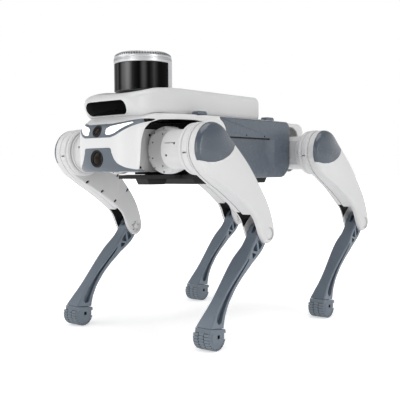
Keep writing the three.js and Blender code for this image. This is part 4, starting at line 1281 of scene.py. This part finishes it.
# ------------------------------------------------------------------------------------------
# floor, light, camera
bm = bmesh.new()
for x, y in ((-40, -40), (40, -40), (40, 40), (-40, 40)):
    bm.verts.new((x, y, -0.0004))
bm.faces.new(bm.verts)
me = bpy.data.meshes.new("floor")
bm.to_mesh(me)
bm.free()
floor = bpy.data.objects.new("floor", me)
scene.collection.objects.link(floor)
floor_mat, nt, b = new_mat("pale_floor")
tc = nt.nodes.new("ShaderNodeTexCoord")
link(nt, mixc(nt, ramp(nt, noise(nt, tc.outputs["Object"], 3.0), 0.3, 0.7, 0, 1), (0.86, 0.86, 0.86), (0.88, 0.88, 0.88)), b.inputs["Base Color"])
b.inputs["Roughness"].default_value = 0.75
b.inputs["Emission Color"].default_value = (1, 1, 1, 1)
far = nt.nodes.new("ShaderNodeVectorMath")
far.operation = "LENGTH"
link(nt, tc.outputs["Object"], far.inputs[0])
link(nt, ramp(nt, far.outputs["Value"], 0.8, 2.8, 0.46, 1.05), b.inputs["Emission Strength"])
me.materials.append(floor_mat)

w = bpy.data.worlds.new("studio")
scene.world = w
w.use_nodes = True
bg = w.node_tree.nodes["Background"]
bg.inputs["Color"].default_value = (1, 1, 1, 1)
bg.inputs["Strength"].default_value = 1.0
wn = w.node_tree
tcw = wn.nodes.new("ShaderNodeTexCoord")
sep = wn.nodes.new("ShaderNodeSeparateXYZ")
link(wn, tcw.outputs["Generated"], sep.inputs["Vector"])
rw = wn.nodes.new("ShaderNodeValToRGB")
link(wn, ramp(wn, sep.outputs["Z"], -1.0, 1.0, 0.0, 1.0), rw.inputs["Fac"])
el = rw.color_ramp.elements
for pos, val in ((0.0, 0.30), (0.44, 0.55), (0.485, 1.0), (0.63, 1.0), (0.69, 0.36), (1.0, 0.40)):
    if pos in (0.0, 1.0):
        e = el[0] if pos == 0.0 else el[len(el) - 1]
    else:
        e = el.new(pos)
    e.color = (val, val, val, 1)
link(wn, rw.outputs["Color"], bg.inputs["Color"])


def area(name, loc, to, size, power, sy=None):
    l = bpy.data.lights.new(name, "AREA")
    l.energy = power
    l.size = size
    if sy:
        l.shape = "RECTANGLE"
        l.size_y = sy
    o = bpy.data.objects.new(name, l)
    scene.collection.objects.link(o)
    o.location = loc
    o.rotation_euler = (Vector(to) - Vector(loc)).to_track_quat("-Z", "Y").to_euler()
    return o


area("key", (1.5, -1.3, 1.5), (0.1, 0, 0.3), 1.4, 12)
area("top", (0.1, 0.3, 2.2), (0.0, 0.0, 0.3), 1.6, 20)
area("strip_front", (2.2, 0.1, 0.55), (0.15, 0, 0.35), 0.45, 7.0, 1.3)
area("strip_side", (0.25, 2.2, 0.72), (0.05, 0, 0.33), 0.30, 11.0, 1.3)

cam = bpy.data.cameras.new("camera")
cam.sensor_width = 36.0
cam.lens = 65.98
cam.clip_end = 200
co = bpy.data.objects.new("camera", cam)
scene.collection.objects.link(co)
d = Vector((0.7641, 0.6441, 0.0369)).normalized()
right = Vector((0, 0, 1)).cross(d).normalized()
up = d.cross(right).normalized()
roll = math.radians(-0.37)
r2 = right * math.cos(roll) + up * math.sin(roll)
u2 = up * math.cos(roll) - right * math.sin(roll)
m = Matrix((r2, u2, d)).transposed().to_4x4()
m.translation = Vector((1.0822 + SX / 1000, 0.9083, 0.286))
co.matrix_world = m
scene.camera = co
scene.view_settings.view_transform = "Standard"
